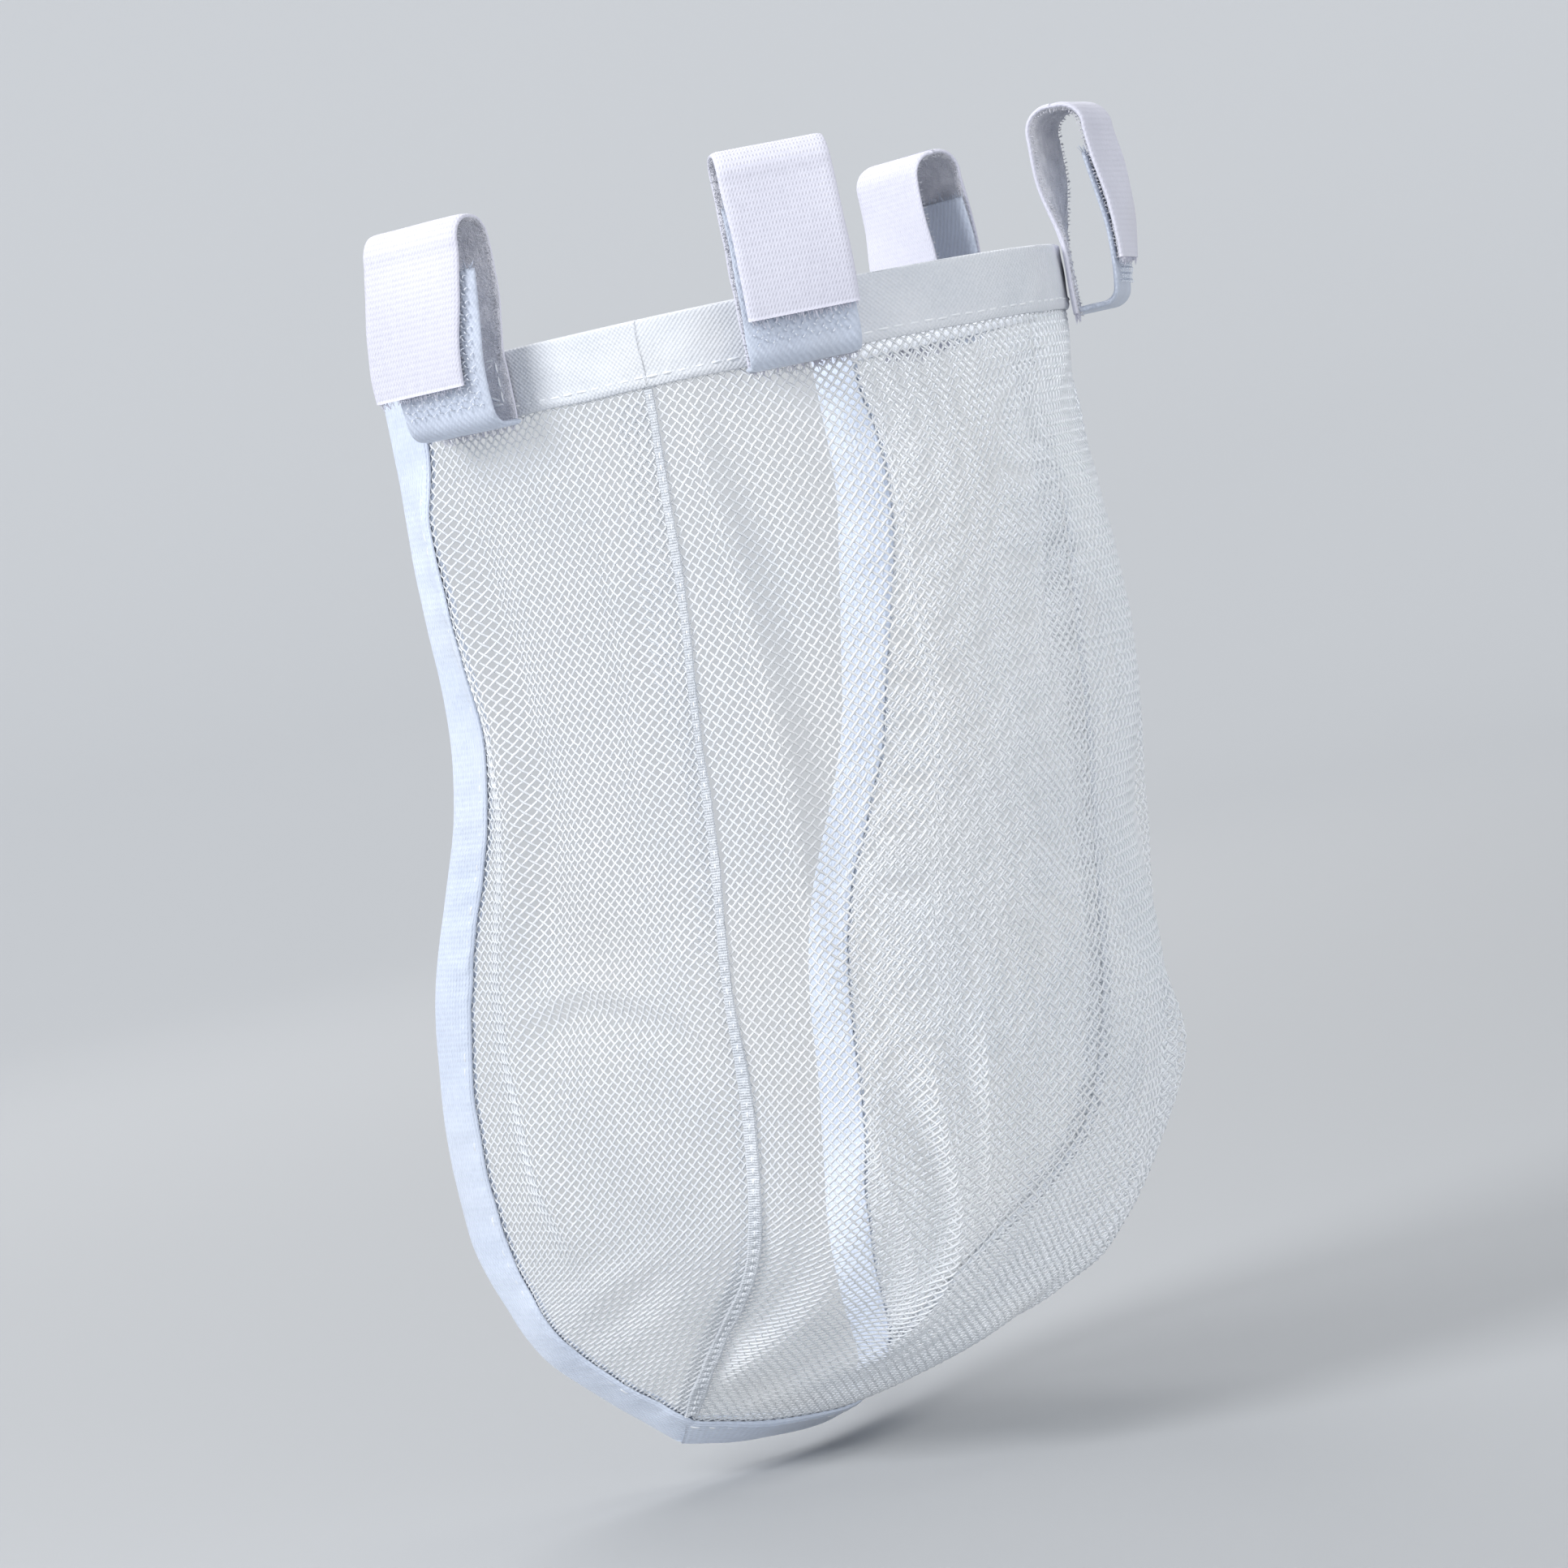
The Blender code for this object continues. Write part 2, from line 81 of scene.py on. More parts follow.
# ------------------------------------------------------------------------------------------------- design surfaces
SEAM_X = 51.7
NOSE_RADIUS = 55.0
SEAM_Y = NOSE_RADIUS - math.sqrt(NOSE_RADIUS ** 2 - SEAM_X ** 2)
FACET = (math.asin(SEAM_X / NOSE_RADIUS) - 0.8 / NOSE_RADIUS) / 15
FRONT_FACE = NOSE_RADIUS - (NOSE_RADIUS + 0.8) * math.cos(FACET)
SEAM = np.array((
    (0.00, SEAM_X, SEAM_Y, -9.0), (0.10, SEAM_X, SEAM_Y, 6.0), (0.20, 52.3, 37.8, 35.0), (0.35, 52.3, 41.0, 72.5),
    (0.50, 51.2, 47.5, 108.0), (0.60, 50.0, 50.8, 131.0), (0.70, 48.0, 56.5, 152.0), (0.76, 44.5, 64.5, 163.0),
    (0.84, 38.0, 82.0, 176.0), (0.92, 32.0, 97.0, 187.5), (1.00, 26.0, 111.0, 198.0),
))
CENTRE = np.array((
    (0.00, 0.0, 0.0, -9.0), (0.10, 0.0, 0.0, 6.0), (0.20, 0.0, 0.0, 35.0), (0.35, 0.0, 0.0, 71.5),
    (0.50, 0.0, 6.0, 110.0), (0.60, 0.0, 9.5, 134.5), (0.70, 0.0, 17.0, 156.5), (0.76, 0.0, 28.0, 171.0),
    (0.84, 0.0, 49.0, 184.5), (0.92, 0.0, 76.0, 194.0), (1.00, 0.0, 105.0, 201.5),
))
EDGE = np.array((
    (0.00, 57.0, 99.0, -9.0), (0.10, 57.0, 99.0, 6.0), (0.20, 56.0, 99.5, 33.0), (0.35, 54.5, 107.0, 71.5),
    (0.50, 52.5, 123.5, 107.0), (0.60, 51.0, 130.5, 131.0), (0.70, 49.0, 132.5, 152.0), (0.76, 46.5, 131.0, 163.0),
    (0.84, 41.5, 126.5, 176.5), (0.92, 33.8, 118.5, 188.0), (1.00, 26.0, 111.0, 198.0),
))
HEM_TOP, HEM_LOW = 10.0, -2.0
BIND = 10.0
SIDE_BOW = 3.0


def step(x):
    x = np.clip(x, 0.0, 1.0)
    return x * x * (3 - 2 * x)


def unit(v):
    return v / np.maximum(np.linalg.norm(v, axis=-1, keepdims=True), 1e-9)


def curve(table, t):
    """Point on a station curve, in row millimetres."""
    t = np.clip(np.asarray(t, float), 0.0, 1.0)
    ts, p = table[:, 0], table[:, 1:]
    k = np.clip(np.searchsorted(ts, t, side="left") - 1, 0, len(ts) - 2)
    slope = np.empty_like(p)
    slope[0] = (p[1] - p[0]) / (ts[1] - ts[0])
    slope[-1] = (p[-1] - p[-2]) / (ts[-1] - ts[-2])
    slope[1:-1] = (p[2:] - p[:-2]) / (ts[2:] - ts[:-2])[:, None]
    h = (ts[k + 1] - ts[k])[..., None]
    u = (t[..., None] - ts[k][..., None]) / h
    m0 = np.where((k == 1)[..., None], slope[0], slope[k])
    out = (
        (2 * u ** 3 - 3 * u ** 2 + 1) * p[k] + (u ** 3 - 2 * u ** 2 + u) * h * m0
        + (-2 * u ** 3 + 3 * u ** 2) * p[k + 1] + (u ** 3 - u ** 2) * h * slope[k + 1]
    )
    out = np.where((k == 0)[..., None], p[k] + (p[k + 1] - p[k]) * u, out)
    return np.stack([out[..., 0], out[..., 1] - FRONT_FACE, -out[..., 2]], -1)


def ripple(x, y, seed, size, count=7):
    """Smooth seeded unevenness between about -1 and 1, with features of this size in millimetres."""
    r = np.random.default_rng(seed)
    total = 0.0
    for _ in range(count):
        turn = r.uniform(0, 2 * math.pi)
        k = 2 * math.pi / (size * r.uniform(0.7, 1.8))
        total = total + np.sin(k * (x * math.cos(turn) + y * math.sin(turn)) + r.uniform(0, 2 * math.pi))
    return total / math.sqrt(count * 1.6)


def seam_at(t, side):
    """Seam line of one side (side is 1 or -1), a little uneven as sewn."""
    p = curve(SEAM, t)
    d = -p[..., 2]
    free = step((t - 0.10) / 0.08) * step((0.97 - t) / 0.08)
    w = ripple(d, 0 * d, 11 + int(side), 46, 4) * free
    p[..., 0] += 0.55 * w
    p[..., 1] += 0.8 * ripple(d, 0 * d, 21 + int(side), 58, 4) * free
    p[..., 0] *= side
    return p


def edge_at(t, side):
    p = curve(EDGE, t)
    d = -p[..., 2]
    free = step((t - 0.10) / 0.10) * step((0.99 - t) / 0.10)
    p[..., 0] += 1.6 * ripple(d, 0 * d, 31 + int(side), 62, 4) * free
    p[..., 1] += 1.2 * ripple(d, 0 * d, 41 + int(side), 55, 4) * free
    p[..., 0] *= side
    return p


def front_base(share, t):
    """Smooth front panel: share -1 at the right seam, 0 on the centre plane, +1 at the left seam."""
    share, t = np.broadcast_arrays(np.asarray(share, float), np.asarray(t, float))
    s = curve(SEAM, t)
    c = curve(CENTRE, t)
    mid = s * np.array([0, 1, 1])
    sag_v = c - mid
    sag = np.linalg.norm(sag_v, axis=-1)
    a = s[..., 0]
    radius = (a * a + sag * sag) / (2 * sag)
    half = np.arctan2(a, radius - sag)
    bow = sag_v / sag[..., None]
    phi = half * share
    p = mid + bow * (radius * (np.cos(phi) - np.cos(half)))[..., None]
    p[..., 0] += radius * np.sin(phi)
    near = np.abs(share) ** 4
    pull = np.where((share > 0)[..., None], seam_at(t, 1), seam_at(t, -1)) - s * np.stack(
        [np.sign(share) + (share == 0), np.ones_like(share), np.ones_like(share)], -1)
    p = p + pull * near[..., None]
    out = bow * np.cos(phi)[..., None]
    out[..., 0] += np.sin(phi)
    return p, out


def side_base(share, t, side):
    """Smooth side panel: share 0 at the seam, 1 at the bound edge."""
    share, t = np.broadcast_arrays(np.asarray(share, float), np.asarray(t, float))
    s, e = seam_at(t, side), edge_at(t, side)
    width = np.linalg.norm(e - s, axis=-1)
    p = s + (e - s) * share[..., None]
    p[..., 0] += side * SIDE_BOW * np.minimum(1, width / 60) * 4 * share * (1 - share)
    out = np.zeros_like(p)
    out[..., 0] = side
    return p, out


T_TABLE = np.linspace(0, 1, 1601)


def half_width(t):
    """Length of the front panel's cross arc from the centre plane to a seam."""
    s, c = curve(SEAM, t), curve(CENTRE, t)
    sag = np.linalg.norm((c - s)[..., 1:], axis=-1)
    a = s[..., 0]
    radius = (a * a + sag * sag) / (2 * sag)
    return radius * np.arctan2(a, radius - sag)


def side_width(t):
    return np.linalg.norm(curve(EDGE, t) - curve(SEAM, t), axis=-1)


def lengths(*tables):
    total = 0
    for table in tables:
        p = curve(table, T_TABLE)
        total = total + np.concatenate([[0], np.cumsum(np.linalg.norm(np.diff(p, axis=0), axis=-1))])
    return total / len(tables)


FRONT_V = lengths(SEAM, CENTRE)
SIDE_V = lengths(SEAM, EDGE)
SEAM_V = lengths(SEAM)
EDGE_V = lengths(EDGE)


def t_of(v, table):
    return np.interp(v, table, T_TABLE)


def v_of(t, table):
    return np.interp(t, T_TABLE, table)


def fold(u, d, path, width, height, ends=12.0):
    """Height of a rounded fold that runs along a path in panel millimetres (across, down)."""
    pts = np.array(path, float)
    seg = np.diff(pts, axis=0)
    length = np.linalg.norm(seg, axis=1)
    start = np.concatenate([[0], np.cumsum(length)])
    best = np.full(np.shape(u), 1e9)
    along = np.zeros(np.shape(u))
    for i in range(len(seg)):
        ru, rd = u - pts[i, 0], d - pts[i, 1]
        k = np.clip((ru * seg[i, 0] + rd * seg[i, 1]) / length[i] ** 2, 0, 1)
        dist = np.hypot(ru - k * seg[i, 0], rd - k * seg[i, 1])
        closer = dist < best
        best = np.where(closer, dist, best)
        along = np.where(closer, start[i] + k * length[i], along)
    taper = step(along / ends) * step((start[-1] - along) / ends)
    return height * taper * np.exp(-(best / width) ** 2)


def front_fold(share, t):
    """How far the front panel stands off its smooth shape, outwards, in millimetres."""
    d = -curve(SEAM, t)[..., 2]
    w = half_width(t)
    u = share * w
    f = 0.0
    for s, k in ((-1, 0), (1, 1)):
        m = u * s
        j = 3.0 * k
        f = f + fold(m, d, ((62, -4 + j), (58.5, 27), (56.5 - k, 62), (55, 95 - j), (49, 122)), 3.2, 2.4)
        f = f - fold(m, d, ((54, 8), (51, 40 + j), (49, 80), (47, 104)), 4.0, 1.0)
        f = f + fold(m, d, ((50, 128), (40 - k, 150), (28, 169), (22, 182)), 2.7, 3.3, 16)
        f = f + fold(m, d, ((37 + j, 122), (31, 146), (25, 168), (20, 184)), 2.5, 3.2, 16)
        f = f - fold(m, d, ((44, 124), (35.5, 148), (26, 172)), 3.2, 2.2, 16)
        f = f + fold(m, d, ((25 + j, 116), (25, 142), (22.5, 168)), 2.3, 2.2, 18)
        f = f - fold(m, d, ((31 + j, 118), (28, 144), (23, 166)), 2.4, 1.4, 16)
        f = f + fold(m, d, ((11 + j, 146), (15, 166), (17, 186)), 3.0, 1.8, 12)
        f = f + fold(m, d, ((30, 20), (27 + j, 60), (29, 100)), 8.0, 0.9, 30)
    brow = step((u + 12) / 16) * step((52 - u) / 16)
    f = f + brow * (2.2 * np.exp(-((d - 135) / 17) ** 2) - 2.8 * np.exp(-((d - 20) / 11) ** 2) - 2.1 * np.exp(-((d - 93) / 13) ** 2))
    f = f + 0.75 * ripple(u, d * 0.6, 5, 44) + 0.22 * ripple(u, d * 0.7, 6, 15)
    f = f + 1.4 * ripple(u * 1.3, d * 0.45, 8, 24) * step((d - 118) / 40)
    keep = step((d - 1) / 16) * step((w * (1 - np.abs(share)) - 1.8) / 7) * (1 - 0.45 * step((t - 0.93) / 0.07))
    return f * keep


def side_fold(share, t, side):
    d = -curve(SEAM, t)[..., 2]
    w = side_width(t)
    u = share * w
    k = 2.5 if side > 0 else 0.0
    f = fold(share * 62, d, ((55.8, -3), (49.6, 45 + k), (43.4, 73), (43.4 - k, 102), (40, 133), (33, 165)), 4.4, 3.3, 22)
    f = f - fold(share * 62, d, ((47, 10), (41.5, 48), (35.5, 76 + k), (36, 104)), 4.6, 1.8, 22)
    f = f + fold(share * 62, d, ((13, 18), (12, 48), (13, 84 + k)), 4.0, 1.4, 20)
    du, dd = u - 0.40 * w, d - (135 + k)
    f = f + 3.4 * np.exp(-((du / 19) ** 2 + (dd / 20) ** 2) ** 1.3)
    f = f - fold(share * 62, d, ((45, 117), (28, 111), (12, 115), (3, 125)), 3.0, 1.5, 14)
    f = f + fold(share * 62, d, ((46, 112), (27, 105), (10, 109)), 3.6, 1.2, 14)
    f = f + fold(share * 50, d, ((8, 150), (20, 160), (36, 168)), 3.6, 1.2, 12)
    f = f + 0.8 * ripple(u, d * 0.7, 15 + int(side), 36) + 0.25 * ripple(u, d, 17 + int(side), 14)
    keep = step((d - 1) / 16) * step((u - 1.8) / 7) * (0.35 + 0.65 * step((w - u - 1.0) / 10)) * step((0.99 - t) / 0.05)
    return f * keep


def front(share, t, lift=0.0, normal=False):
    """Front panel as worn.  Returns points, and unit normals if asked, moved out by lift."""
    def folded(a, b):
        p, out = front_base(a, b)
        return p + unit(out) * front_fold(a, b)[..., None]
    share, t = np.broadcast_arrays(np.asarray(share, float), np.asarray(t, float))
    if not normal and np.isscalar(lift) and lift == 0:
        return folded(share, t)
    e = 2e-3
    ta, tb = np.clip(t + e, 0, 1), np.clip(t - e, 0, 1)
    n = unit(np.cross(folded(share + e, t) - folded(share - e, t), folded(share, ta) - folded(share, tb)))
    _, out = front_base(share, t)
    n = n * np.where((n * out).sum(-1, keepdims=True) < 0, -1.0, 1.0)
    p = folded(share, t) + n * np.asarray(lift)[..., None]
    return (p, n) if normal else p


def side_panel(share, t, side, lift=0.0, normal=False):
    def folded(a, b):
        p, out = side_base(a, b, side)
        return p + out * side_fold(a, b, side)[..., None]
    share, t = np.broadcast_arrays(np.asarray(share, float), np.asarray(t, float))
    if not normal and np.isscalar(lift) and lift == 0:
        return folded(share, t)
    e = 2e-3
    tm = np.minimum(t, 0.985)
    n = unit(np.cross(folded(share + e, tm) - folded(share - e, tm), folded(share, tm + e) - folded(share, np.maximum(tm - e, 0))))
    n = n * np.where(n[..., :1] * side < 0, -1.0, 1.0)
    p = folded(share, t) + n * np.asarray(lift)[..., None]
    return (p, n) if normal else p


# ---------------------------------------------------------------------------------------------------- mesh building
class Build:
    """Collects vertices, quads and triangles with per-corner UVs in millimetres, then makes one object."""

    def __init__(self):
        self.v, self.q, self.quv, self.qm, self.t, self.tuv, self.tm, self.n = [], [], [], [], [], [], [], 0

    def add(self, verts, quads=None, quv=None, tris=None, tuv=None, mat=0, tmat=0):
        verts = np.asarray(verts, float).reshape(-1, 3)
        if quads is not None and len(quads):
            quads = np.asarray(quads).reshape(-1, 4)
            self.q.append(quads + self.n)
            self.quv.append(np.zeros((len(quads), 4, 2)) if quv is None else quv)
            self.qm.append(np.broadcast_to(mat, len(quads)))
        if tris is not None and len(tris):
            tris = np.asarray(tris).reshape(-1, 3)
            self.t.append(tris + self.n)
            self.tuv.append(np.zeros((len(tris), 3, 2)) if tuv is None else tuv)
            self.tm.append(np.broadcast_to(tmat, len(tris)))
        self.v.append(verts)
        self.n += len(verts)

    def object(self, name, materials, layer="fabric"):
        v = np.concatenate(self.v) * MM
        q = np.concatenate(self.q) if self.q else np.zeros((0, 4), int)
        t = np.concatenate(self.t) if self.t else np.zeros((0, 3), int)
        me = bpy.data.meshes.new(name)
        me.vertices.add(len(v))
        me.vertices.foreach_set("co", v.astype(np.float32).ravel())
        loops = np.concatenate([q.ravel(), t.ravel()]).astype(np.int32)
        starts = np.concatenate([np.arange(len(q)) * 4, len(q) * 4 + np.arange(len(t)) * 3]).astype(np.int32)
        me.loops.add(len(loops))
        me.loops.foreach_set("vertex_index", loops)
        me.polygons.add(len(starts))
        me.polygons.foreach_set("loop_start", starts)
        if len(materials) > 1:
            mats = np.concatenate(self.qm + self.tm).astype(np.int32)
            me.polygons.foreach_set("material_index", mats)
        me.update(calc_edges=True)
        uv = me.uv_layers.new(name=layer)
        parts = [np.concatenate(self.quv).reshape(-1, 2)] if self.quv else []
        parts += [np.concatenate(self.tuv).reshape(-1, 2)] if self.tuv else []
        uv.data.foreach_set("uv", np.concatenate(parts).astype(np.float32).ravel())
        for m in materials:
            me.materials.append(m)
        me.shade_smooth()
        me.validate()
        ob = bpy.data.objects.new(name, me)
        bpy.context.scene.collection.objects.link(ob)
        return ob


def band(build, rings, mat=0, caps=True, along=None, across=None, flip=False):
    """A closed section swept through rings (R, K, 3).  mat may be a list with one entry per section side."""
    rings = np.asarray(rings, float)
    r, k, _ = rings.shape
    idx = np.arange(r * k).reshape(r, k)
    nxt = np.roll(idx, -1, axis=1)
    quads = np.stack([idx[:-1], nxt[:-1], nxt[1:], idx[1:]], -1).reshape(-1, 4)
    if along is None:
        along = np.concatenate([[0], np.cumsum(np.linalg.norm(np.diff(rings.mean(1), axis=0), axis=-1))])
    if across is None:
        loop = np.concatenate([rings[r // 2], rings[r // 2][:1]])
        across = np.concatenate([[0], np.cumsum(np.linalg.norm(np.diff(loop, axis=0), axis=-1))])
    a0, a1 = np.meshgrid(along[:-1], across[:-1], indexing="ij")
    b0, b1 = np.meshgrid(along[1:], across[1:], indexing="ij")
    quv = np.stack([np.stack([a1, a0], -1), np.stack([b1, a0], -1), np.stack([b1, b0], -1), np.stack([a1, b0], -1)], 2)
    quv = quv.reshape(-1, 4, 2)
    mats = np.tile(np.broadcast_to(mat, k), r - 1)
    # signed volume decides which way the quads face
    c = rings.mean(1, keepdims=True)
    x, y = rings[:-1] - c[:-1], np.roll(rings, -1, axis=1)[:-1] - c[:-1]
    axis = c[1:] - c[:-1]
    turn = (np.cross(x, y) * axis).sum() > 0
    if turn == flip:
        quads, quv = quads[:, ::-1], quv[:, ::-1]
    verts = rings.reshape(-1, 3)
    if not caps:
        build.add(verts, quads, quv, mat=mats)
        return
    ends, tris = [], []
    for row, centre, way in ((0, r * k, 1), (r - 1, r * k + 1, -1)):
        ends.append(rings[row].mean(0))
        one = np.stack([idx[row], nxt[row], np.full(k, centre)], -1)
        if (way > 0) != (turn != flip):
            one = one[:, ::-1]
        tris.append(one)
    first = mat if np.isscalar(mat) else mat[0]
    build.add(np.concatenate([verts, ends]), quads, quv, np.concatenate(tris), mat=mats, tmat=first)


def rods(build, centres, along, up, length, radius, dive, sides=6, mat=0):
    """Short rounded lengths of thread whose ends dive into the cloth."""
    centres, along = np.asarray(centres, float), unit(np.asarray(along, float))
    up = np.asarray(up, float)
    up = unit(up - along * (up * along).sum(-1, keepdims=True))
    across = np.cross(along, up)
    n = len(centres)
    length = np.broadcast_to(length, n)[:, None]
    radius = np.broadcast_to(radius, n)[:, None]
    stations = ((-0.52, 0.25, -1.0), (-0.46, 0.8, -0.55), (-0.28, 1.0, -0.08), (0.0, 1.06, 0.05), (0.28, 1.0, -0.08),
                (0.46, 0.8, -0.55), (0.52, 0.25, -1.0))
    angle = np.arange(sides) * 2 * math.pi / sides
    rings = []
    for p, w, q in stations:
        c = centres + along * length * p + up * dive * q
        rings.append(c[:, None] + radius[:, None] * w * (across[:, None] * np.cos(angle)[:, None] + up[:, None] * 0.85 * np.sin(angle)[:, None]))
    v = np.stack(rings, 1)
    s = len(stations)
    one = np.arange(s * sides).reshape(s, sides)
    nxt = np.roll(one, -1, axis=1)
    quads = np.stack([one[:-1], nxt[:-1], nxt[1:], one[1:]], -1).reshape(-1, 4)[:, ::-1]
    ends = np.array([[one[0, (i + 1) % sides], one[0, i], one[0, 0]] for i in range(1, sides - 1)]
                    + [[one[-1, i], one[-1, (i + 1) % sides], one[-1, 0]] for i in range(1, sides - 1)])[:, ::-1]
    quads = (quads[None] + (np.arange(n) * s * sides)[:, None, None]).reshape(-1, 4)
    tris = (ends[None] + (np.arange(n) * s * sides)[:, None, None]).reshape(-1, 3)
    flat = v.reshape(-1, 3)
    quv = np.stack([flat[quads][..., 0], flat[quads][..., 2]], -1)
    build.add(flat, quads, quv, tris, mat=mat)


# -------------------------------------------------------------------------------------------------------- materials
def node(tree, kind, **settings):
    n = tree.nodes.new(kind)
    for key, value in settings.items():
        if key in n.inputs:
            n.inputs[key].default_value = value
        else:
            setattr(n, key, value)
    return n


def cloth(name, light, dark, patch=55.0, rough=(0.5, 0.7), sheen=0.15, grime=None, grime_scale=18.0):
    """A woven or knitted white cloth: slow colour drift, finer mottling, varied roughness.  Returns (material, tools)."""
    m = bpy.data.materials.new(name)
    m.use_nodes = True
    tree = m.node_tree
    b = tree.nodes["Principled BSDF"]
    co = node(tree, "ShaderNodeTexCoord")
    drift = node(tree, "ShaderNodeTexNoise", Scale=patch, Detail=1.0, Roughness=0.55)
    fine = node(tree, "ShaderNodeTexNoise", Scale=patch * 22, Detail=0.0, Roughness=0.6)
    tree.links.new(co.outputs["Object"], drift.inputs["Vector"])
    tree.links.new(co.outputs["Object"], fine.inputs["Vector"])
    both = node(tree, "ShaderNodeMath", operation="MULTIPLY_ADD")
    both.inputs[1].default_value = 0.35
    tree.links.new(fine.outputs["Fac"], both.inputs[0])
    tree.links.new(drift.outputs["Fac"], both.inputs[2])
    ramp = node(tree, "ShaderNodeValToRGB")
    ramp.color_ramp.elements[0].position = 0.45
    ramp.color_ramp.elements[0].color = (*dark, 1)
    ramp.color_ramp.elements[1].position = 0.85
    ramp.color_ramp.elements[1].color = (*light, 1)
    tree.links.new(both.outputs[0], ramp.inputs["Fac"])
    colour = ramp.outputs["Color"]
    if grime:
        spots = node(tree, "ShaderNodeTexNoise", Scale=grime_scale, Detail=2.0, Roughness=0.7)
        tree.links.new(co.outputs["Object"], spots.inputs["Vector"])
        mask = node(tree, "ShaderNodeMapRange")
        mask.inputs["From Min"].default_value = 0.56
        mask.inputs["From Max"].default_value = 0.78
        mask.inputs["To Max"].default_value = 0.35
        tree.links.new(spots.outputs["Fac"], mask.inputs["Value"])
        mix = node(tree, "ShaderNodeMix", data_type="RGBA")
        mix.inputs["B"].default_value = (*grime, 1)
        tree.links.new(mask.outputs["Result"], mix.inputs["Factor"])
        tree.links.new(colour, mix.inputs["A"])
        mix.inputs[7].default_value = (*grime, 1)
        tree.links.new(mask.outputs["Result"], mix.inputs[0])
        tree.links.new(colour, mix.inputs[6])
        colour = mix.outputs[2]
    tree.links.new(colour, b.inputs["Base Color"])
    r = node(tree, "ShaderNodeMapRange")
    r.inputs["From Min"].default_value = 0.3
    r.inputs["From Max"].default_value = 0.7
    r.inputs["To Min"].default_value = rough[0]
    r.inputs["To Max"].default_value = rough[1]
    tree.links.new(fine.outputs["Fac"], r.inputs["Value"])
    tree.links.new(r.outputs["Result"], b.inputs["Roughness"])
    b.inputs["Sheen Weight"].default_value = sheen
    b.inputs["Sheen Roughness"].default_value = 0.4
    return m, (tree, b, co, fine, colour)


def math_node(tree, op, a, b=None):
    n = node(tree, "ShaderNodeMath", operation=op)
    for i, x in enumerate((a, b)):
        if x is None:
            continue
        if isinstance(x, (int, float)):
            n.inputs[i].default_value = x
        else:
            tree.links.new(x, n.inputs[i])
    return n.outputs[0]


def fabric_uv(tree):
    uv = node(tree, "ShaderNodeUVMap", uv_map="fabric")
    sep = node(tree, "ShaderNodeSeparateXYZ")
    tree.links.new(uv.outputs["UV"], sep.inputs[0])
    return sep.outputs[0], sep.outputs[1]


def weave(tree, pitch_x, pitch_y, depth=1.0):
    """Plain weave height from the fabric coordinates, in millimetres of pitch."""
    x, y = fabric_uv(tree)
    sx = math_node(tree, "SINE", math_node(tree, "MULTIPLY", x, 2 * math.pi / pitch_x))
    sy = math_node(tree, "SINE", math_node(tree, "MULTIPLY", y, 2 * math.pi / pitch_y))
    return math_node(tree, "MULTIPLY", math_node(tree, "MULTIPLY", sx, sy), depth)


def ribs(tree, pitch, axis=0, skew=0.0):
    x, y = fabric_uv(tree)
    a, b = (x, y) if axis == 0 else (y, x)
    if skew:
        a = math_node(tree, "ADD", a, math_node(tree, "MULTIPLY", b, skew))
    return math_node(tree, "SINE", math_node(tree, "MULTIPLY", a, 2 * math.pi / pitch))


def add_bump(tools, heights, distance, strength=1.0):
    """heights: list of (socket, weight)."""
    tree, b = tools[0], tools[1]
    total = None
    for socket, weight in heights:
        part = math_node(tree, "MULTIPLY", socket, weight)
        total = part if total is None else math_node(tree, "ADD", total, part)
    bump = node(tree, "ShaderNodeBump", Strength=strength, Distance=distance)
    tree.links.new(total, bump.inputs["Height"])
    tree.links.new(bump.outputs["Normal"], b.inputs["Normal"])


def shade_by(tools, socket, amount, colour=(0.45, 0.50, 0.60)):
    """Darkens the colour where socket is low, so that a weave also reads in flat light."""
    tree, b, _, _, base = tools
    k = node(tree, "ShaderNodeMapRange")
    k.inputs["From Min"].default_value = -1.0
    k.inputs["From Max"].default_value = 0.6
    k.inputs["To Min"].default_value = amount
    k.inputs["To Max"].default_value = 0.0
    tree.links.new(socket, k.inputs["Value"])
    mix = node(tree, "ShaderNodeMix", data_type="RGBA")
    tree.links.new(k.outputs["Result"], mix.inputs[0])
    tree.links.new(base, mix.inputs[6])
    mix.inputs[7].default_value = (*colour, 1)
    tree.links.new(mix.outputs[2], b.inputs["Base Color"])


mat_net, net_tools = cloth("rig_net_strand", (0.86, 0.88, 0.91), (0.76, 0.79, 0.83), 28, (0.38, 0.55), 0.1, (0.72, 0.70, 0.66), 14)
net_tools[1].inputs["Subsurface Weight"].default_value = 0.0

mat_hem, tools = cloth("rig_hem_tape", (0.78, 0.80, 0.84), (0.69, 0.72, 0.77), 60, (0.6, 0.8), 0.25, (0.66, 0.64, 0.60), 22)
w = weave(tools[0], 0.9, 0.9)
shade_by(tools, w, 0.16)
add_bump(tools, [(w, 0.10), (tools[3].outputs["Fac"], 0.12)], 0.001, 0.6)

mat_seam, tools = cloth("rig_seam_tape", (0.80, 0.83, 0.88), (0.70, 0.74, 0.80), 60, (0.6, 0.8), 0.25, (0.68, 0.67, 0.64), 22)
w = math_node(tools[0], "MULTIPLY", ribs(tools[0], 1.0, 0, 1.0), ribs(tools[0], 1.0, 0, -1.0))
shade_by(tools, w, 0.34, (0.46, 0.49, 0.54))
add_bump(tools, [(w, 0.16), (tools[3].outputs["Fac"], 0.12)], 0.001, 0.8)

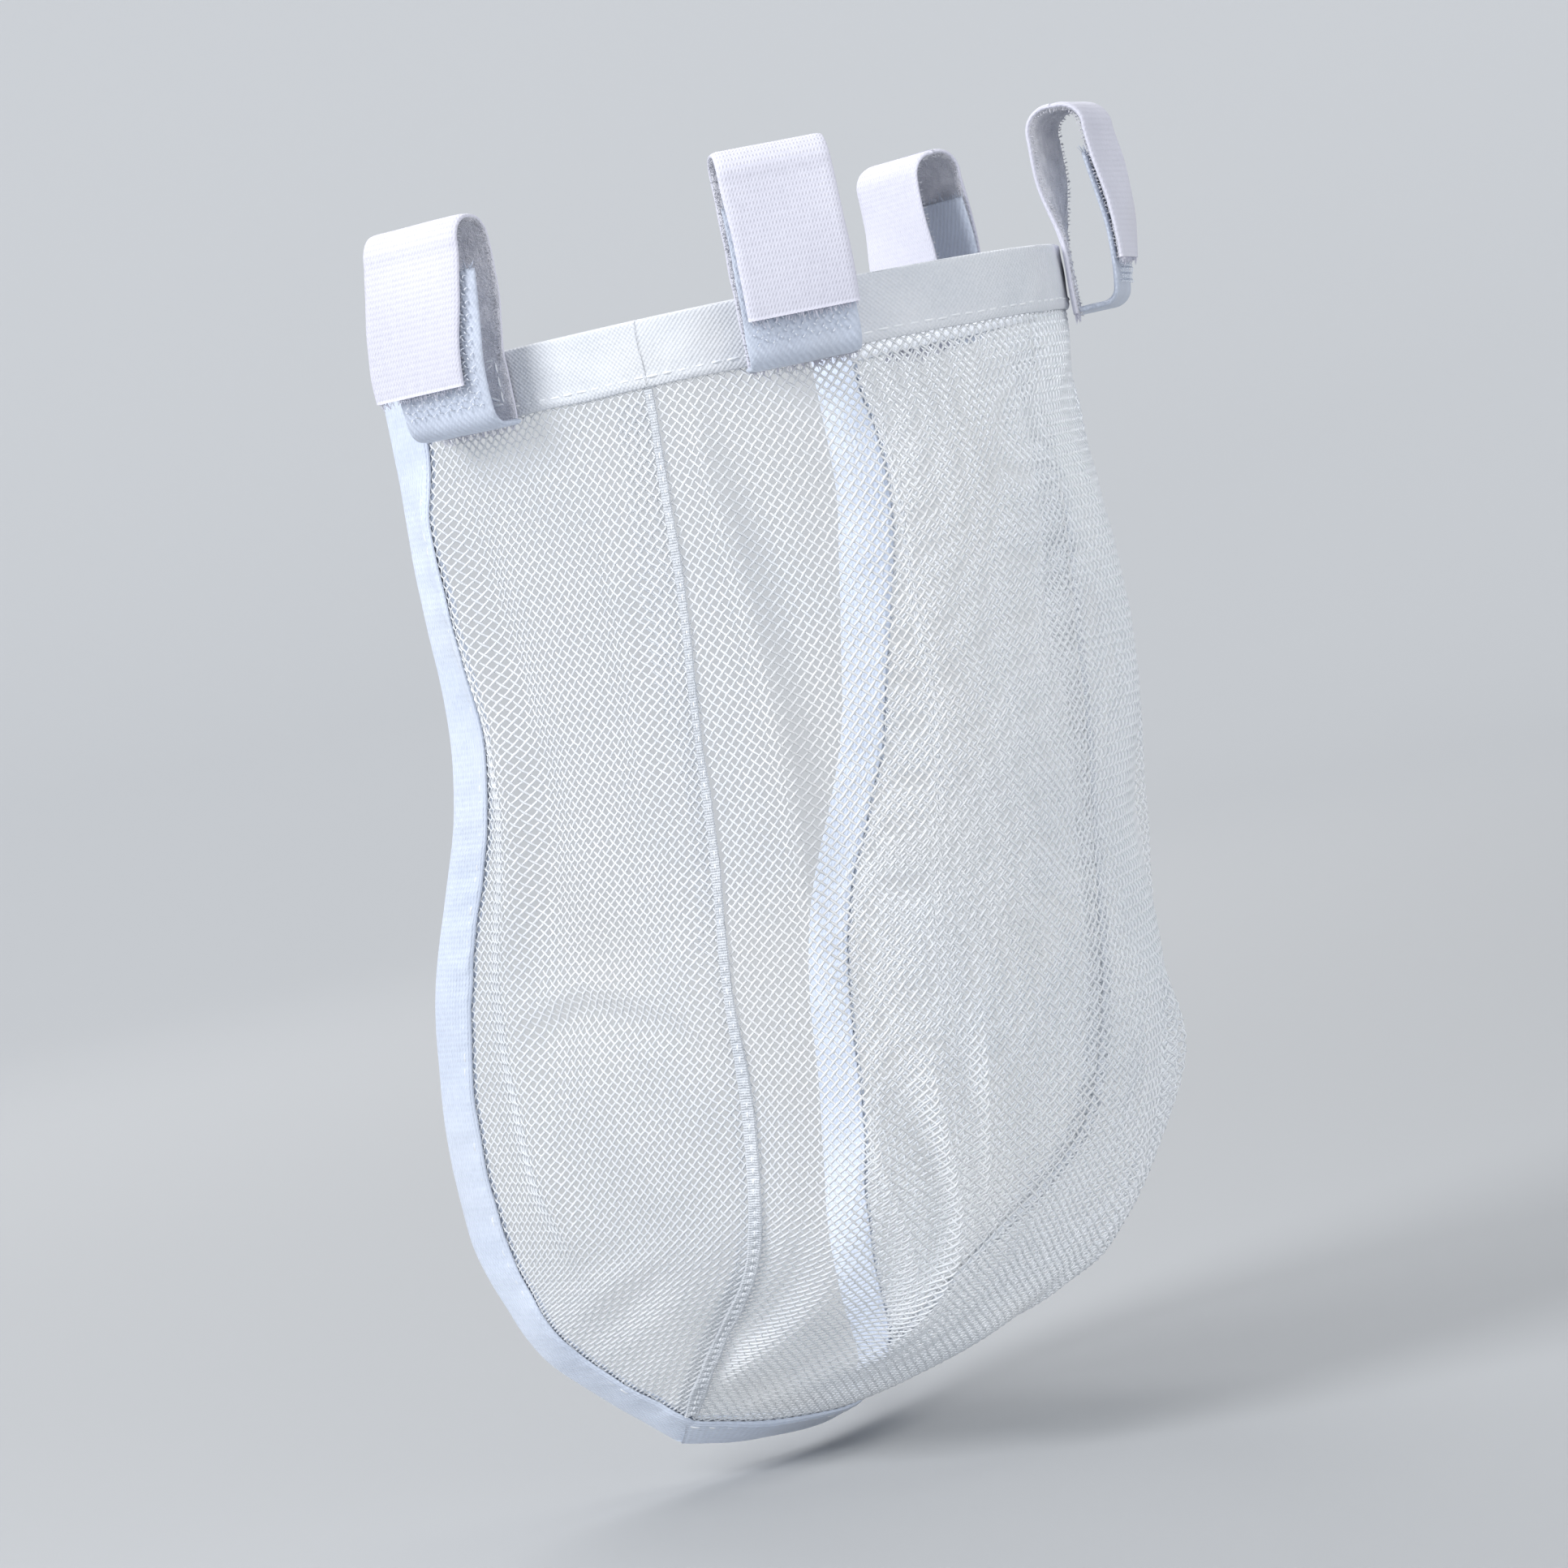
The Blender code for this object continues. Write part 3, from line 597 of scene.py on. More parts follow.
mat_bind, tools = cloth("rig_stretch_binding", (0.72, 0.79, 0.92), (0.64, 0.71, 0.85), 45, (0.42, 0.6), 0.35, (0.60, 0.62, 0.66), 20)
w = ribs(tools[0], 0.75, 0)
w2 = weave(tools[0], 0.75, 1.1)
shade_by(tools, w, 0.10, (0.50, 0.57, 0.72))
add_bump(tools, [(w, 0.07), (w2, 0.05), (tools[3].outputs["Fac"], 0.08)], 0.001, 0.6)

mat_loop, tools = cloth("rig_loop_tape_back", (0.74, 0.74, 0.84), (0.66, 0.66, 0.76), 40, (0.55, 0.75), 0.2, (0.60, 0.58, 0.58), 25)
w = weave(tools[0], 0.62, 1.0)
w2 = ribs(tools[0], 0.62, 0)
shade_by(tools, w, 0.13, (0.50, 0.50, 0.62))
add_bump(tools, [(w, 0.07), (w2, 0.04), (tools[3].outputs["Fac"], 0.06)], 0.001, 0.6)

mat_pile, tools = cloth("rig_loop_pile", (0.90, 0.90, 0.97), (0.66, 0.67, 0.75), 300, (0.8, 0.95), 0.5)
v1 = node(tools[0], "ShaderNodeTexVoronoi", Scale=1900.0)
tools[0].links.new(tools[2].outputs["Object"], v1.inputs["Vector"])
add_bump(tools, [(v1.outputs["Distance"], -0.35), (tools[3].outputs["Fac"], 0.3)], 0.001, 0.9)

mat_hook, tools = cloth("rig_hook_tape", (0.62, 0.68, 0.80), (0.52, 0.57, 0.68), 70, (0.4, 0.55), 0.1, (0.45, 0.46, 0.48), 30)
w = weave(tools[0], 0.7, 0.9)
w2 = ribs(tools[0], 1.25, 0, 0.5)
shade_by(tools, w2, 0.22, (0.36, 0.40, 0.50))
add_bump(tools, [(w, 0.05), (w2, 0.10)], 0.001, 0.6)

mat_hooks, tools = cloth("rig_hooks", (0.84, 0.88, 0.96), (0.70, 0.75, 0.84), 200, (0.22, 0.35), 0.0)
add_bump(tools, [(tools[3].outputs["Fac"], 0.05)], 0.001, 0.4)

mat_thread, tools = cloth("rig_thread", (0.93, 0.95, 0.98), (0.80, 0.83, 0.88), 160, (0.35, 0.5), 0.2)
tw = node(tools[0], "ShaderNodeTexWave", Scale=900.0, Distortion=1.0)
tw.bands_direction = "DIAGONAL"
tools[0].links.new(tools[2].outputs["Object"], tw.inputs["Vector"])
add_bump(tools, [(tw.outputs["Fac"], 0.06)], 0.001, 0.7)


# ------------------------------------------------------------------------------------------------------- net strands
PITCH = 1.4
CELL = PITCH / math.sqrt(2)
NET_LEVEL = -0.42        # middle of the net below the panel's outer face


def strands(surface, u0, u1, v0, v1, inside, seed, level=NET_LEVEL, shift=(0.0, 0.0)):
    """Two families of diagonal strands woven over and under.  Returns arrays to be split into pieces."""
    r = np.random.default_rng(seed)
    a = np.arange(math.floor(u0 / CELL), math.ceil(u1 / CELL) + 1)
    b = np.arange(math.floor(v0 / CELL), math.ceil(v1 / CELL) + 1)
    A, B = np.meshgrid(a, b, indexing="ij")
    u, v = A * CELL + shift[0], B * CELL + shift[1]
    ok = ((A + B) % 2 == 0) & inside(u, v)
    u = u + r.normal(0, 0.045, u.shape)
    v = v + r.normal(0, 0.045, v.shape)
    p, n = surface(u, v, True)
    e = 0.4
    pu = surface(u + e, v, False) - surface(u - e, v, False)
    pv = surface(u, v + e, False) - surface(u, v - e, False)
    over = np.where(A % 2 == 0, 1.0, -1.0)
    number = np.full(A.shape, -1)
    number[ok] = np.arange(ok.sum())
    out = []
    for way in (1, -1):
        d = unit(unit(pu) + way * unit(pv))
        s = unit(np.cross(n, d))
        wide = 0.262 * (1 + r.normal(0, 0.05, A.shape))
        centre = p + n * (level + over * way * 0.12)[..., None]
        j0 = slice(0, -1) if way > 0 else slice(1, None)
        j1 = slice(1, None) if way > 0 else slice(0, -1)
        i0, i1 = slice(0, -1), slice(1, None)
        live = ok[i0, j0] & ok[i1, j1]
        ends = []
        for i, j in ((i0, j0), (i1, j1)):
            ends.append((number[i, j][live], centre[i, j][live], s[i, j][live], n[i, j][live], wide[i, j][live], u[i, j][live], v[i, j][live]))
        out.append((ok, number, centre, s, n, wide, u, v, ends))
    return out


def strand_piece(name, families, keep, size):
    """One object from the strands whose middles satisfy keep(u, v)."""
    build = Build()
    corner = ((1, 0), (0, 1), (-1, 0), (0, -1))
    for ok, number, centre, s, n, wide, u, v, ends in families:
        count = int(ok.sum())
        c0, s0, n0, w0, u0, v0 = centre[ok], s[ok], n[ok], wide[ok], u[ok], v[ok]
        ring = np.stack([c0 + s0 * (w0 * x)[:, None] + n0 * (0.17 * y) for x, y in corner], 1)
        a, b = ends
        mid_u, mid_v = (a[5] + b[5]) / 2, (a[6] + b[6]) / 2
        use = keep(mid_u, mid_v)
        mc = ((a[1] + b[1]) / 2)[use]
        ms, mn = unit(a[2] + b[2])[use], unit(a[3] + b[3])[use]
        mw = ((a[4] + b[4]) / 2)[use] * 0.78
        mid = np.stack([mc + ms * (mw * x)[:, None] + mn * (0.155 * y) for x, y in corner], 1)
        m = len(mc)
        verts = np.concatenate([ring.reshape(-1, 3), mid.reshape(-1, 3)])
        uv = np.concatenate([np.repeat(np.stack([u0, v0], -1), 4, 0), np.repeat(np.stack([mid_u[use], mid_v[use]], -1), 4, 0)])
        ia, ib, im = a[0][use] * 4, b[0][use] * 4, (count + np.arange(m)) * 4
        quads = []
        for k in range(4):
            j = (k + 1) % 4
            quads.append(np.stack([ia + k, ia + j, im + j, im + k], -1))
            quads.append(np.stack([im + k, im + j, ib + j, ib + k], -1))
        quads = np.concatenate(quads)
        used = np.zeros(len(verts), bool)
        used[quads] = True
        renum = np.cumsum(used) - 1
        quads = renum[quads]
        verts, uv = verts[used], uv[used]
        quv = (uv / size + 0.02)[quads]
        # strands run so that this order faces outwards on one side of the object; checked by signed area below
        q = verts[quads]
        face_n = np.cross(q[:, 1] - q[:, 0], q[:, 3] - q[:, 0])
        mid_p = q.mean(1)
        axis_p = np.concatenate([np.repeat(0.5 * (a[1][use] + mc) [None], 1, 0)[0], np.repeat(0.5 * (b[1][use] + mc)[None], 1, 0)[0]] * 4)
        if (face_n * (mid_p - axis_p)).sum() < 0:
            quads, quv = quads[:, ::-1], quv[:, ::-1]
        build.add(verts, quads, quv)
    return build.object(name, [mat_net], layer="OFBake")


def front_uv(u, v, normal):
    t = t_of(v, FRONT_V)
    return front(np.clip(u / half_width(t), -1.02, 1.02), t, normal=normal)


def front_inside(u, v):
    t = t_of(v, FRONT_V)
    return (np.abs(u) < half_width(t) - 0.25) & (v > 0.8) & (v < FRONT_V[-1] - 1.2)


families = strands(front_uv, -70, 70, 0, FRONT_V[-1], front_inside, 101)
UV_SIZE = np.array([150.0, 240.0])
for name, s in SIDES:
    for part, low, high in (("nose", -1, 105), ("chin", 105, 999)):
        piece = strand_piece(f"net_front_{part}_{name}", families, lambda u, v: (u * s > 0) & (v > low) & (v <= high), np.array([80.0 * s, 240.0]))
        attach(piece, "net")
        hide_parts("front_panel")


def flare(piece):
    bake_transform(piece)


for name, s in SIDES:
    def side_uv(u, v, normal, s=s):
        t = t_of(v, SIDE_V)
        return side_panel(np.clip(u / np.maximum(side_width(t), 1.0), -0.02, 1.02), t, s, normal=normal)

    def side_inside(u, v):
        t = t_of(v, SIDE_V)
        return (u > 0.25) & (u < side_width(t) - 1.3) & (v > 0.8)

    families = strands(side_uv, 0, 100, 0, SIDE_V[-1], side_inside, 202 + int(s))
    for part, low, high in (("upper", -1, 100), ("lower", 100, 999)):
        piece = strand_piece(f"net_side_{part}_{name}", families, lambda u, v: (v > low) & (v <= high), np.array([100.0, 240.0]))
        flare(piece)
        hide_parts("side_panel_" + name)


    # the seam allowance: a second layer of net that lies inside the side panel, wider at the top than at the chin
    def allowance_inside(u, v):
        t = t_of(v, SIDE_V)
        d = -curve(SEAM, t)[..., 2]
        wide = 9.5 - 4.5 * step((d - 10) / 110) + 0.5 * ripple(v, 0 * v, 57, 30, 3)
        return (u > 0.25) & (u < np.minimum(wide, side_width(t) - 9.0)) & (d > 3.5)

    families = strands(side_uv, 0, 12, 0, SIDE_V[-1], allowance_inside, 212 + int(s), NET_LEVEL - 0.62, (0.45, 0.3))
    piece = strand_piece("seam_allowance_net_" + name, families, lambda u, v: u > -1, np.array([100.0, 240.0]))
    flare(piece)
    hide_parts("seam_strip_" + name)


# --------------------------------------------------------------------------------------- a section laid over a panel
def round_section(points, steps=3, radius=0.4):
    """Closed section polygon with its corners rounded, as an array of (a, n)."""
    pts = np.array(points, float)
    out = []
    k = len(pts)
    for i in range(k):
        p, a, b = pts[i], pts[i - 1], pts[(i + 1) % k]
        la, lb = np.linalg.norm(a - p), np.linalg.norm(b - p)
        r = min(radius, la * 0.45, lb * 0.45)
        pa, pb = p + (a - p) / la * r, p + (b - p) / lb * r
        for j in range(steps + 1):
            w = j / steps
            out.append((1 - w) ** 2 * pa + 2 * w * (1 - w) * p + w * w * pb)
    return np.array(out)


def subdivided(points, longest):
    """Adds points along the long sides of a section so that it can bend with the cloth."""
    pts = np.array(points, float)
    out = []
    for i in range(len(pts)):
        a, b = pts[i], pts[(i + 1) % len(pts)]
        n = max(1, int(math.ceil(np.linalg.norm(b - a) / longest)))
        for k in range(n):
            out.append(a + (b - a) * k / n)
    return np.array(out)


# ------------------------------------------------------------------------------------------------------- seam strips
def over_seam(t, q, side, lift):
    """Points near a seam: q millimetres along the cloth, negative on the front panel, positive on the side panel."""
    t, q, lift = np.broadcast_arrays(t, q, lift)
    w_front, w_side = half_width(t), np.maximum(side_width(t), 1.0)
    pf, nf = front(side * (1 - np.maximum(-q, 0) / w_front), t, normal=True)
    ps, ns = side_panel(np.maximum(q, 0) / w_side, t, side, normal=True)
    k = step((q + 1.6) / 3.2)[..., None]
    n = unit(nf * (1 - k) + ns * k)
    p = np.where((q < 0)[..., None], pf, ps)
    return p + n * lift[..., None], n


def t_at_z(z, table=SEAM):
    zz = curve(table, T_TABLE)[:, 2]
    return float(np.interp(-z, -zz, T_TABLE))


for name, s in SIDES:
    v_lo, v_hi = v_of(t_at_z(HEM_LOW - 0.1), SEAM_V), v_of(0.957, SEAM_V)
    vs = np.arange(v_lo, v_hi, 0.35)
    ts = t_of(vs, SEAM_V)
    section = subdivided(round_section([(-1.55, -0.2), (1.45, -0.2), (1.5, 0.42), (0.3, 0.78), (-1.55, 0.6)], 3, 0.45), 0.7)
    q, lift = section[:, 0], section[:, 1]
    phase = 2 * math.pi * (vs - v_lo - 1.6) / 2.1 + math.pi
    up = (lift > 0.2)
    # the stitch row pulls the allowance down at each needle hole and lets it swell between
    dent = np.exp(-((q + 0.25) / 0.6) ** 2)[None] * (0.10 + 0.46 * (0.5 + 0.5 * np.cos(phase)) ** 3)[:, None]
    swell = 0.10 * ripple(vs[:, None] + 0 * q, q[None] * 3, 61 + int(s), 7)
    lift2 = lift[None] + up[None] * (swell - dent)
    full = (0.50 + 0.50 * step((vs - 75) / 95))[:, None]
    q2 = full * q[None] * (1 + 0.12 * ripple(vs, 0 * vs, 63 + int(s), 9))[:, None] + 0.07 * np.cos(phase)[:, None] * np.sign(q)[None]
    lift2 = np.where(up[None], 0.2 + (lift2 - 0.2) * (0.45 + 0.55 * full), lift2)
    rings, _ = over_seam(ts[:, None], q2, s, lift2)
    b = Build()
    band(b, rings)
    piece = b.object("seam_allowance_" + name, [mat_seam])
    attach(piece, "net")
    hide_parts("seam_strip_" + name)
    # stitches
    vs = np.arange(v_lo + 1.6, v_hi - 1.0, 2.1)
    r = np.random.default_rng(71 + int(s))
    high = 0.40 + 0.20 * step((vs - 75) / 95)
    vs = vs + r.normal(0, 0.05, len(vs))
    ts = t_of(vs, SEAM_V)
    c, n = over_seam(ts, np.full(len(ts), -0.2) + r.normal(0, 0.05, len(ts)), s, high)
    c2, _ = over_seam(t_of(vs + 0.5, SEAM_V), np.full(len(ts), -0.2), s, high)
    b = Build()
    rods(b, c, c2 - c, n, 1.5, 0.19, 0.40)
    piece = b.object("seam_stitches_" + name, [mat_thread])
    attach(piece, "net")
    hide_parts("seam_thread_" + name)


# -------------------------------------------------------------------------------------------------------------- hems
def hem_section():
    """Folded tape as (height z, out n): one wall outside the net, the other inside, joined over the top."""
    outer = [(HEM_LOW, 0.28), (HEM_LOW + 0.9, 0.72), (HEM_TOP - 1.2, 0.8)]
    top = [(HEM_TOP - 0.5 + 0.55 * math.sin(k), -0.5 + 1.30 * math.cos(k)) for k in np.linspace(0.25, math.pi - 0.25, 8)]
    inner = [(HEM_TOP - 1.2, -1.8), (HEM_LOW + 0.9, -1.7), (HEM_LOW, -1.15)]
    back = [(HEM_LOW - 0.05, -0.75), (HEM_TOP - 1.6, -1.2), (HEM_TOP - 1.0, -0.5), (HEM_TOP - 1.6, 0.2), (HEM_LOW - 0.05, -0.2)]
    pts = np.array(outer + top + inner + back)
    return subdivided(round_section(pts, 2, 0.22), 1.3)


def hem(name, at, us, width_seed, mat=mat_hem):
    """at(u) gives (foot point at z 0, flat outward normal).  us: positions along the hem."""
    sec = hem_section()
    base, flat = at(us)
    z = sec[:, 0][None] + 0.10 * ripple(us, 0 * us, width_seed, 14)[:, None] * (sec[:, 0] < 0)[None]
    row_pull = np.exp(-((sec[:, 0][None] + 0.2) / 0.8) ** 2)
    phase = 2 * math.pi * us / 3.0
    n = sec[:, 1][None]
    wall = np.where(sec[:, 1] > -0.5, 1.0, -1.0)[None] * (np.abs(sec[:, 1] + 0.5) > 1.0)[None]
    bulge = 0.13 * ripple(us[:, None] + 0 * z, z * 1.2, width_seed + 1, 9) - row_pull * (0.14 + 0.09 * np.cos(phase))[:, None]
    n = n + wall * bulge
    rings = base[:, None] + flat[:, None] * n[..., None]
    rings[..., 2] = z
    b = Build()
    band(b, rings)
    b2 = Build()
    us2 = np.arange(us[0] + 1.5, us[-1] - 1.0, 3.0)
    base, flat = at(us2)
    later, _ = at(us2 + 0.5)
    r = np.random.default_rng(width_seed)
    for out, face in ((1, 0.64), (-1, -1.62)):
        c = base + flat * face
        c[:, 2] = -0.2 + r.normal(0, 0.07, len(c))
        rods(b2, c, (later - base) * np.array([1, 1, 0]), flat * out, 2.35, 0.22, 0.4)
    return b.object("folded_hem_" + name, [mat]), b2.object("hem_stitches_" + name, [mat_thread])


def front_hem_at(u):
    t0 = np.full(np.shape(u), 0.06)
    share = u / half_width(t0)
    p = front(share, t0)
    half = math.asin(SEAM_X / NOSE_RADIUS)
    n = np.stack([np.sin(half * share), -np.cos(half * share), 0 * share], -1)
    p = p * np.array([1, 1, 0])
    return p, n


w0 = float(half_width(0.05))
piece, stitches = hem("front", front_hem_at, np.arange(-w0 - 0.05, w0 + 0.1, 0.75), 81)
for x, slot in ((piece, "hem_tape"), (stitches, "thread")):
    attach(x, "net")
    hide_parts("hem_front")

for name, s in SIDES:
    w1 = float(side_width(0.05))

    def side_hem_at(u, s=s):
        t0 = np.full(np.shape(u), 0.06)
        p, n = side_panel(u / w1, t0, s, normal=True)
        n = unit(n * np.array([1, 1, 0]))
        return p * np.array([1, 1, 0]), n

    piece, stitches = hem(name, side_hem_at, np.arange(-0.3, w1 - 7.0, 0.75), 85 + 3 * int(s))
    for x, slot in ((piece, "hem_tape"), (stitches, "thread")):
        flare(x)
        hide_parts("hem_" + name)


# ---------------------------------------------------------------------------------------------------------- bindings
def binding_section(reach, lift=0.0):
    """Fold-over binding as (a into the panel, n outwards)."""
    outer = [(reach, 0.30 + lift), (reach - 0.9, 0.78 + lift), (1.2, 1.0 + lift)]
    fold_over = [(0.95 - 1.35 * math.sin(k), -0.5 + (1.48 + lift) * math.cos(k)) for k in np.linspace(0.15, math.pi - 0.15, 9)]
    inner = [(1.2, -2.0 - lift), (reach - 0.9, -1.75 - lift), (reach, -1.15 - lift)]
    back = [(reach - 0.05, -0.72), (2.4, -0.95), (0.9, -0.5), (2.4, 0.05), (reach - 0.05, -0.22)]
    return subdivided(round_section(np.array(outer + fold_over + inner + back), 2, 0.25), 1.4)


def bind(name, place, vs, seed, reach=BIND, lift=0.0):
    """place(v, a, n) gives points on the bound edge at v millimetres along it."""
    sec = binding_section(reach, lift)
    a, n = sec[:, 0][None], sec[:, 1][None]
    wall = np.where(sec[:, 1] > -0.5, 1.0, -1.0)[None] * (np.abs(sec[:, 1] + 0.5) > 0.95)[None]
    phase = 2 * math.pi * vs / 3.0
    inward = (vs[:, None] + 0 * a)
    row_pull = np.exp(-((a - reach + 1.5) / 0.75) ** 2)
    pucker = 0.16 * ripple(inward, a * 0.35, seed, 6.5) * step(a / 3.0)
    bulge = pucker - row_pull * (0.12 + 0.10 * np.cos(phase))[:, None] + 0.18 * np.exp(-((a - 3.4) / 2.4) ** 2)
    n = n + wall * bulge
    rim = 0.16 * ripple(vs, 0 * vs, seed + 2, 11)[:, None] * step((a - reach + 1.5) / 1.5)
    rings = place(inward, a + rim + 0 * inward, n + 0 * inward)
    b = Build()
    band(b, rings)
    b2 = Build()
    v2 = np.arange(vs[0] + 1.5, vs[-1] - 1.0, 3.0)
    r = np.random.default_rng(seed)
    for face in (0.56 + lift, -1.50 - lift):
        aa = reach - 1.5 + r.normal(0, 0.07, len(v2))
        c = place(v2, aa, np.full(len(v2), face))
        later = place(v2 + 0.5, aa, np.full(len(v2), face))
        higher = place(v2, aa, np.full(len(v2), face + (0.3 if face > 0 else -0.3)))
        rods(b2, c, later - c, higher - c, 2.35, 0.22, 0.42)
    return b.object("stretch_binding_" + name, [mat_bind]), b2.object("binding_stitches_" + name, [mat_thread])


for name, s in SIDES:
    def edge_place(v, a, n, s=s):
        t = t_of(v, EDGE_V)
        v, a, n, t = np.broadcast_arrays(v, a, n, t)
        width = np.maximum(np.linalg.norm(edge_at(t, s) - seam_at(t, s), axis=-1), 0.05)
        inside = np.clip(a, 0, None)
        share = 1 - np.minimum(inside, width) / width
        ps, ns = side_panel(share, t, s, normal=True)
        past = np.clip(inside - width, 0, None)
        pf, nf = front(s * (1 - past / half_width(t)), np.minimum(t, 0.995), normal=True)
        k = step((inside - width + 1.5) / 3.0)[..., None]
        nn = unit(ns * (1 - k) + nf * k)
        p = np.where((past > 0)[..., None], pf, ps)
        near = side_panel(1 - np.minimum(3.0, width * 0.5) / width, t, s)
        into = unit(near - side_panel(np.ones_like(share), t, s))
        last = step((t - 0.93) / 0.05)[..., None]
        chin_in = unit(front(s * 0.86, np.minimum(t, 0.985)) - front(s * 0.999, np.minimum(t, 0.985)))
        into = unit(into * (1 - last) + chin_in * last)
        return p + nn * n[..., None] + into * np.minimum(a, 0)[..., None]

    piece, stitches = bind("edge_" + name, edge_place, np.arange(0.0, EDGE_V[-1] - 0.8, 0.8), 91 + 3 * int(s))
    for x, slot in ((piece, "stretch_binding"), (stitches, "thread")):
        flare(x)
        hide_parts("edge_binding_" + name)


def chin_place(v, a, n):
    share = v / half_width(1.0)
    v, a, n, share = np.broadcast_arrays(v, a, n, share)
    t = t_of(FRONT_V[-1] - np.clip(a, 0, None), FRONT_V)
    p, nn = front(share, np.minimum(t, 0.9995), normal=True)
    p1 = front(share, np.full(share.shape, 0.985))
    p0 = front(share, np.full(share.shape, 1.0))
    into = unit(p1 - p0)
    return p + nn * n[..., None] + into * np.minimum(a, 0)[..., None]


wc = float(half_width(1.0))
piece, stitches = bind("chin", chin_place, np.arange(-wc - 0.2, wc + 0.3, 0.8), 99, lift=0.12)
for x, slot in ((piece, "stretch_binding"), (stitches, "thread")):
    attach(x, "net")
    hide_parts("chin_binding")


# -------------------------------------------------------------------------------------------------- hook-and-loop tabs
TAPE_W, TAPE_T = 20.0, 1.2
BACK_LEG, BRIDGE_Z, FLAP_LEG, HOOK_LEG = 1.75, 34.1, 12.35, 10.6


def arc_points(cx, cz, r, a0, a1, n):
    a = np.radians(np.linspace(a0, a1, n))
    return np.stack([cx + r * np.cos(a), cz + r * np.sin(a)], -1)


def resample(path, gap):
    path = np.asarray(path, float)
    d = np.concatenate([[0], np.cumsum(np.linalg.norm(np.diff(path, axis=0), axis=-1))])
    n = max(2, int(round(d[-1] / gap)))
    s = np.linspace(0, d[-1], n + 1)
    return np.stack([np.interp(s, d, path[:, 0]), np.interp(s, d, path[:, 1])], -1), s


def place_tab(frame_t, x, w, z):
    """Tab coordinates (across, outwards, up) to row millimetres.  A tab leaves its foot flat and turns a little as it rises."""
    origin, out_n, across, twist = frame_t
    x, w, z = np.broadcast_arrays(np.asarray(x, float), np.asarray(w, float), np.asarray(z, float))
    f = step((w - 3.0) / 4.0)
    turn = math.radians(twist) * (step((z - 8.0) / 15.0) * (1 - f) + (0.45 + 0.55 * step(z / 24.0)) * f)
    c, s = np.cos(turn), np.sin(turn)
    x2, w2 = x * c - (w - 1.75) * s, 1.75 + (w - 1.75) * c + x * s
    return origin + across * x2[..., None] + out_n * w2[..., None] + np.array([0, 0, 1.0]) * z[..., None]


def tape_section(thick):
    """Section of a tape as (across, out of the face); material 1 marks the inner face, which may carry the pile."""
    x = np.concatenate([np.linspace(-TAPE_W / 2 + 0.25, TAPE_W / 2 - 0.25, 40)])
    edge = step((TAPE_W / 2 - np.abs(x)) / 1.3)
    h_out = thick / 2 * (0.62 + 0.38 * edge)
    h_in = thick / 2 * (0.45 + 0.55 * edge)
    top = np.stack([x, h_out], -1)
    bottom = np.stack([x[::-1], -h_in[::-1]], -1)
    right = np.array([(TAPE_W / 2 - 0.08, 0.22), (TAPE_W / 2, 0.0), (TAPE_W / 2 - 0.08, -0.18)])
    left = np.array([(-TAPE_W / 2 + 0.08, -0.18), (-TAPE_W / 2, 0.0), (-TAPE_W / 2 + 0.08, 0.22)])
    sec = np.concatenate([top, right, bottom, left])
    mats = np.array([0] * 40 + [0] * 3 + [1] * 40 + [0] * 3)
    return sec, mats


def tape_piece(name, frame_t, path, materials, seed, fuzz=0.0, skew=lambda s: 0.0 * s, bow=lambda s: 0.0 * s, thick=TAPE_T, gap=0.7, s0=0.0,
               cut_start=False, cut_end=False):
    pts, s = resample(path, gap)
    tan = np.gradient(pts, axis=0)
    tan = tan / np.linalg.norm(tan, axis=-1, keepdims=True)
    nrm = np.stack([-tan[:, 1], tan[:, 0]], -1)  # to the left of travel: the outside of the U when going up the back leg
    sec, mats = tape_section(thick)
    x, h = sec[:, 0][None], sec[:, 1][None]
    s_all = s + s0
    wav = 0.10 * ripple(s_all[:, None] + 0 * x, x * 0.5, seed, 13)
    edge_wave = 0.10 * ripple(s_all, 0 * s_all, seed + 3, 9)[:, None] * np.sign(x) * (np.abs(x) > 9.0)
    pile = 0.0
    if fuzz:
        r = np.random.default_rng(seed + 9)
        pile = -np.abs(r.normal(0, fuzz, (len(s), len(sec)))) * (mats[None] == 1) * (np.abs(x) < 8.9)
    hh = h + wav + pile
    w = pts[:, 0][:, None] + nrm[:, 0][:, None] * hh + bow(s_all)[:, None]
    z = pts[:, 1][:, None] + nrm[:, 1][:, None] * hh
    xx = x + edge_wave + skew(s_all)[:, None]
    rings = place_tab(frame_t, xx, w, z)
    b = Build()
    col = np.concatenate([x[0], x[0][:1]])
    band(b, rings, mat=mats, along=s_all, across=col)
    if fuzz:
        fuzz_edges(b, frame_t, pts + np.stack([bow(s_all), 0 * s_all], -1), nrm, skew(s_all), seed + 12, -1.0)
    for live, row, way in ((cut_start, 0, -1.0), (cut_end, -1, 1.0)):
        if live:
            fray(b, frame_t, skew(s_all)[row], (pts[row, 0] + bow(s_all)[row], pts[row, 1]), tan[row] * way, seed + 15 + row)
    return b.object(name, materials)


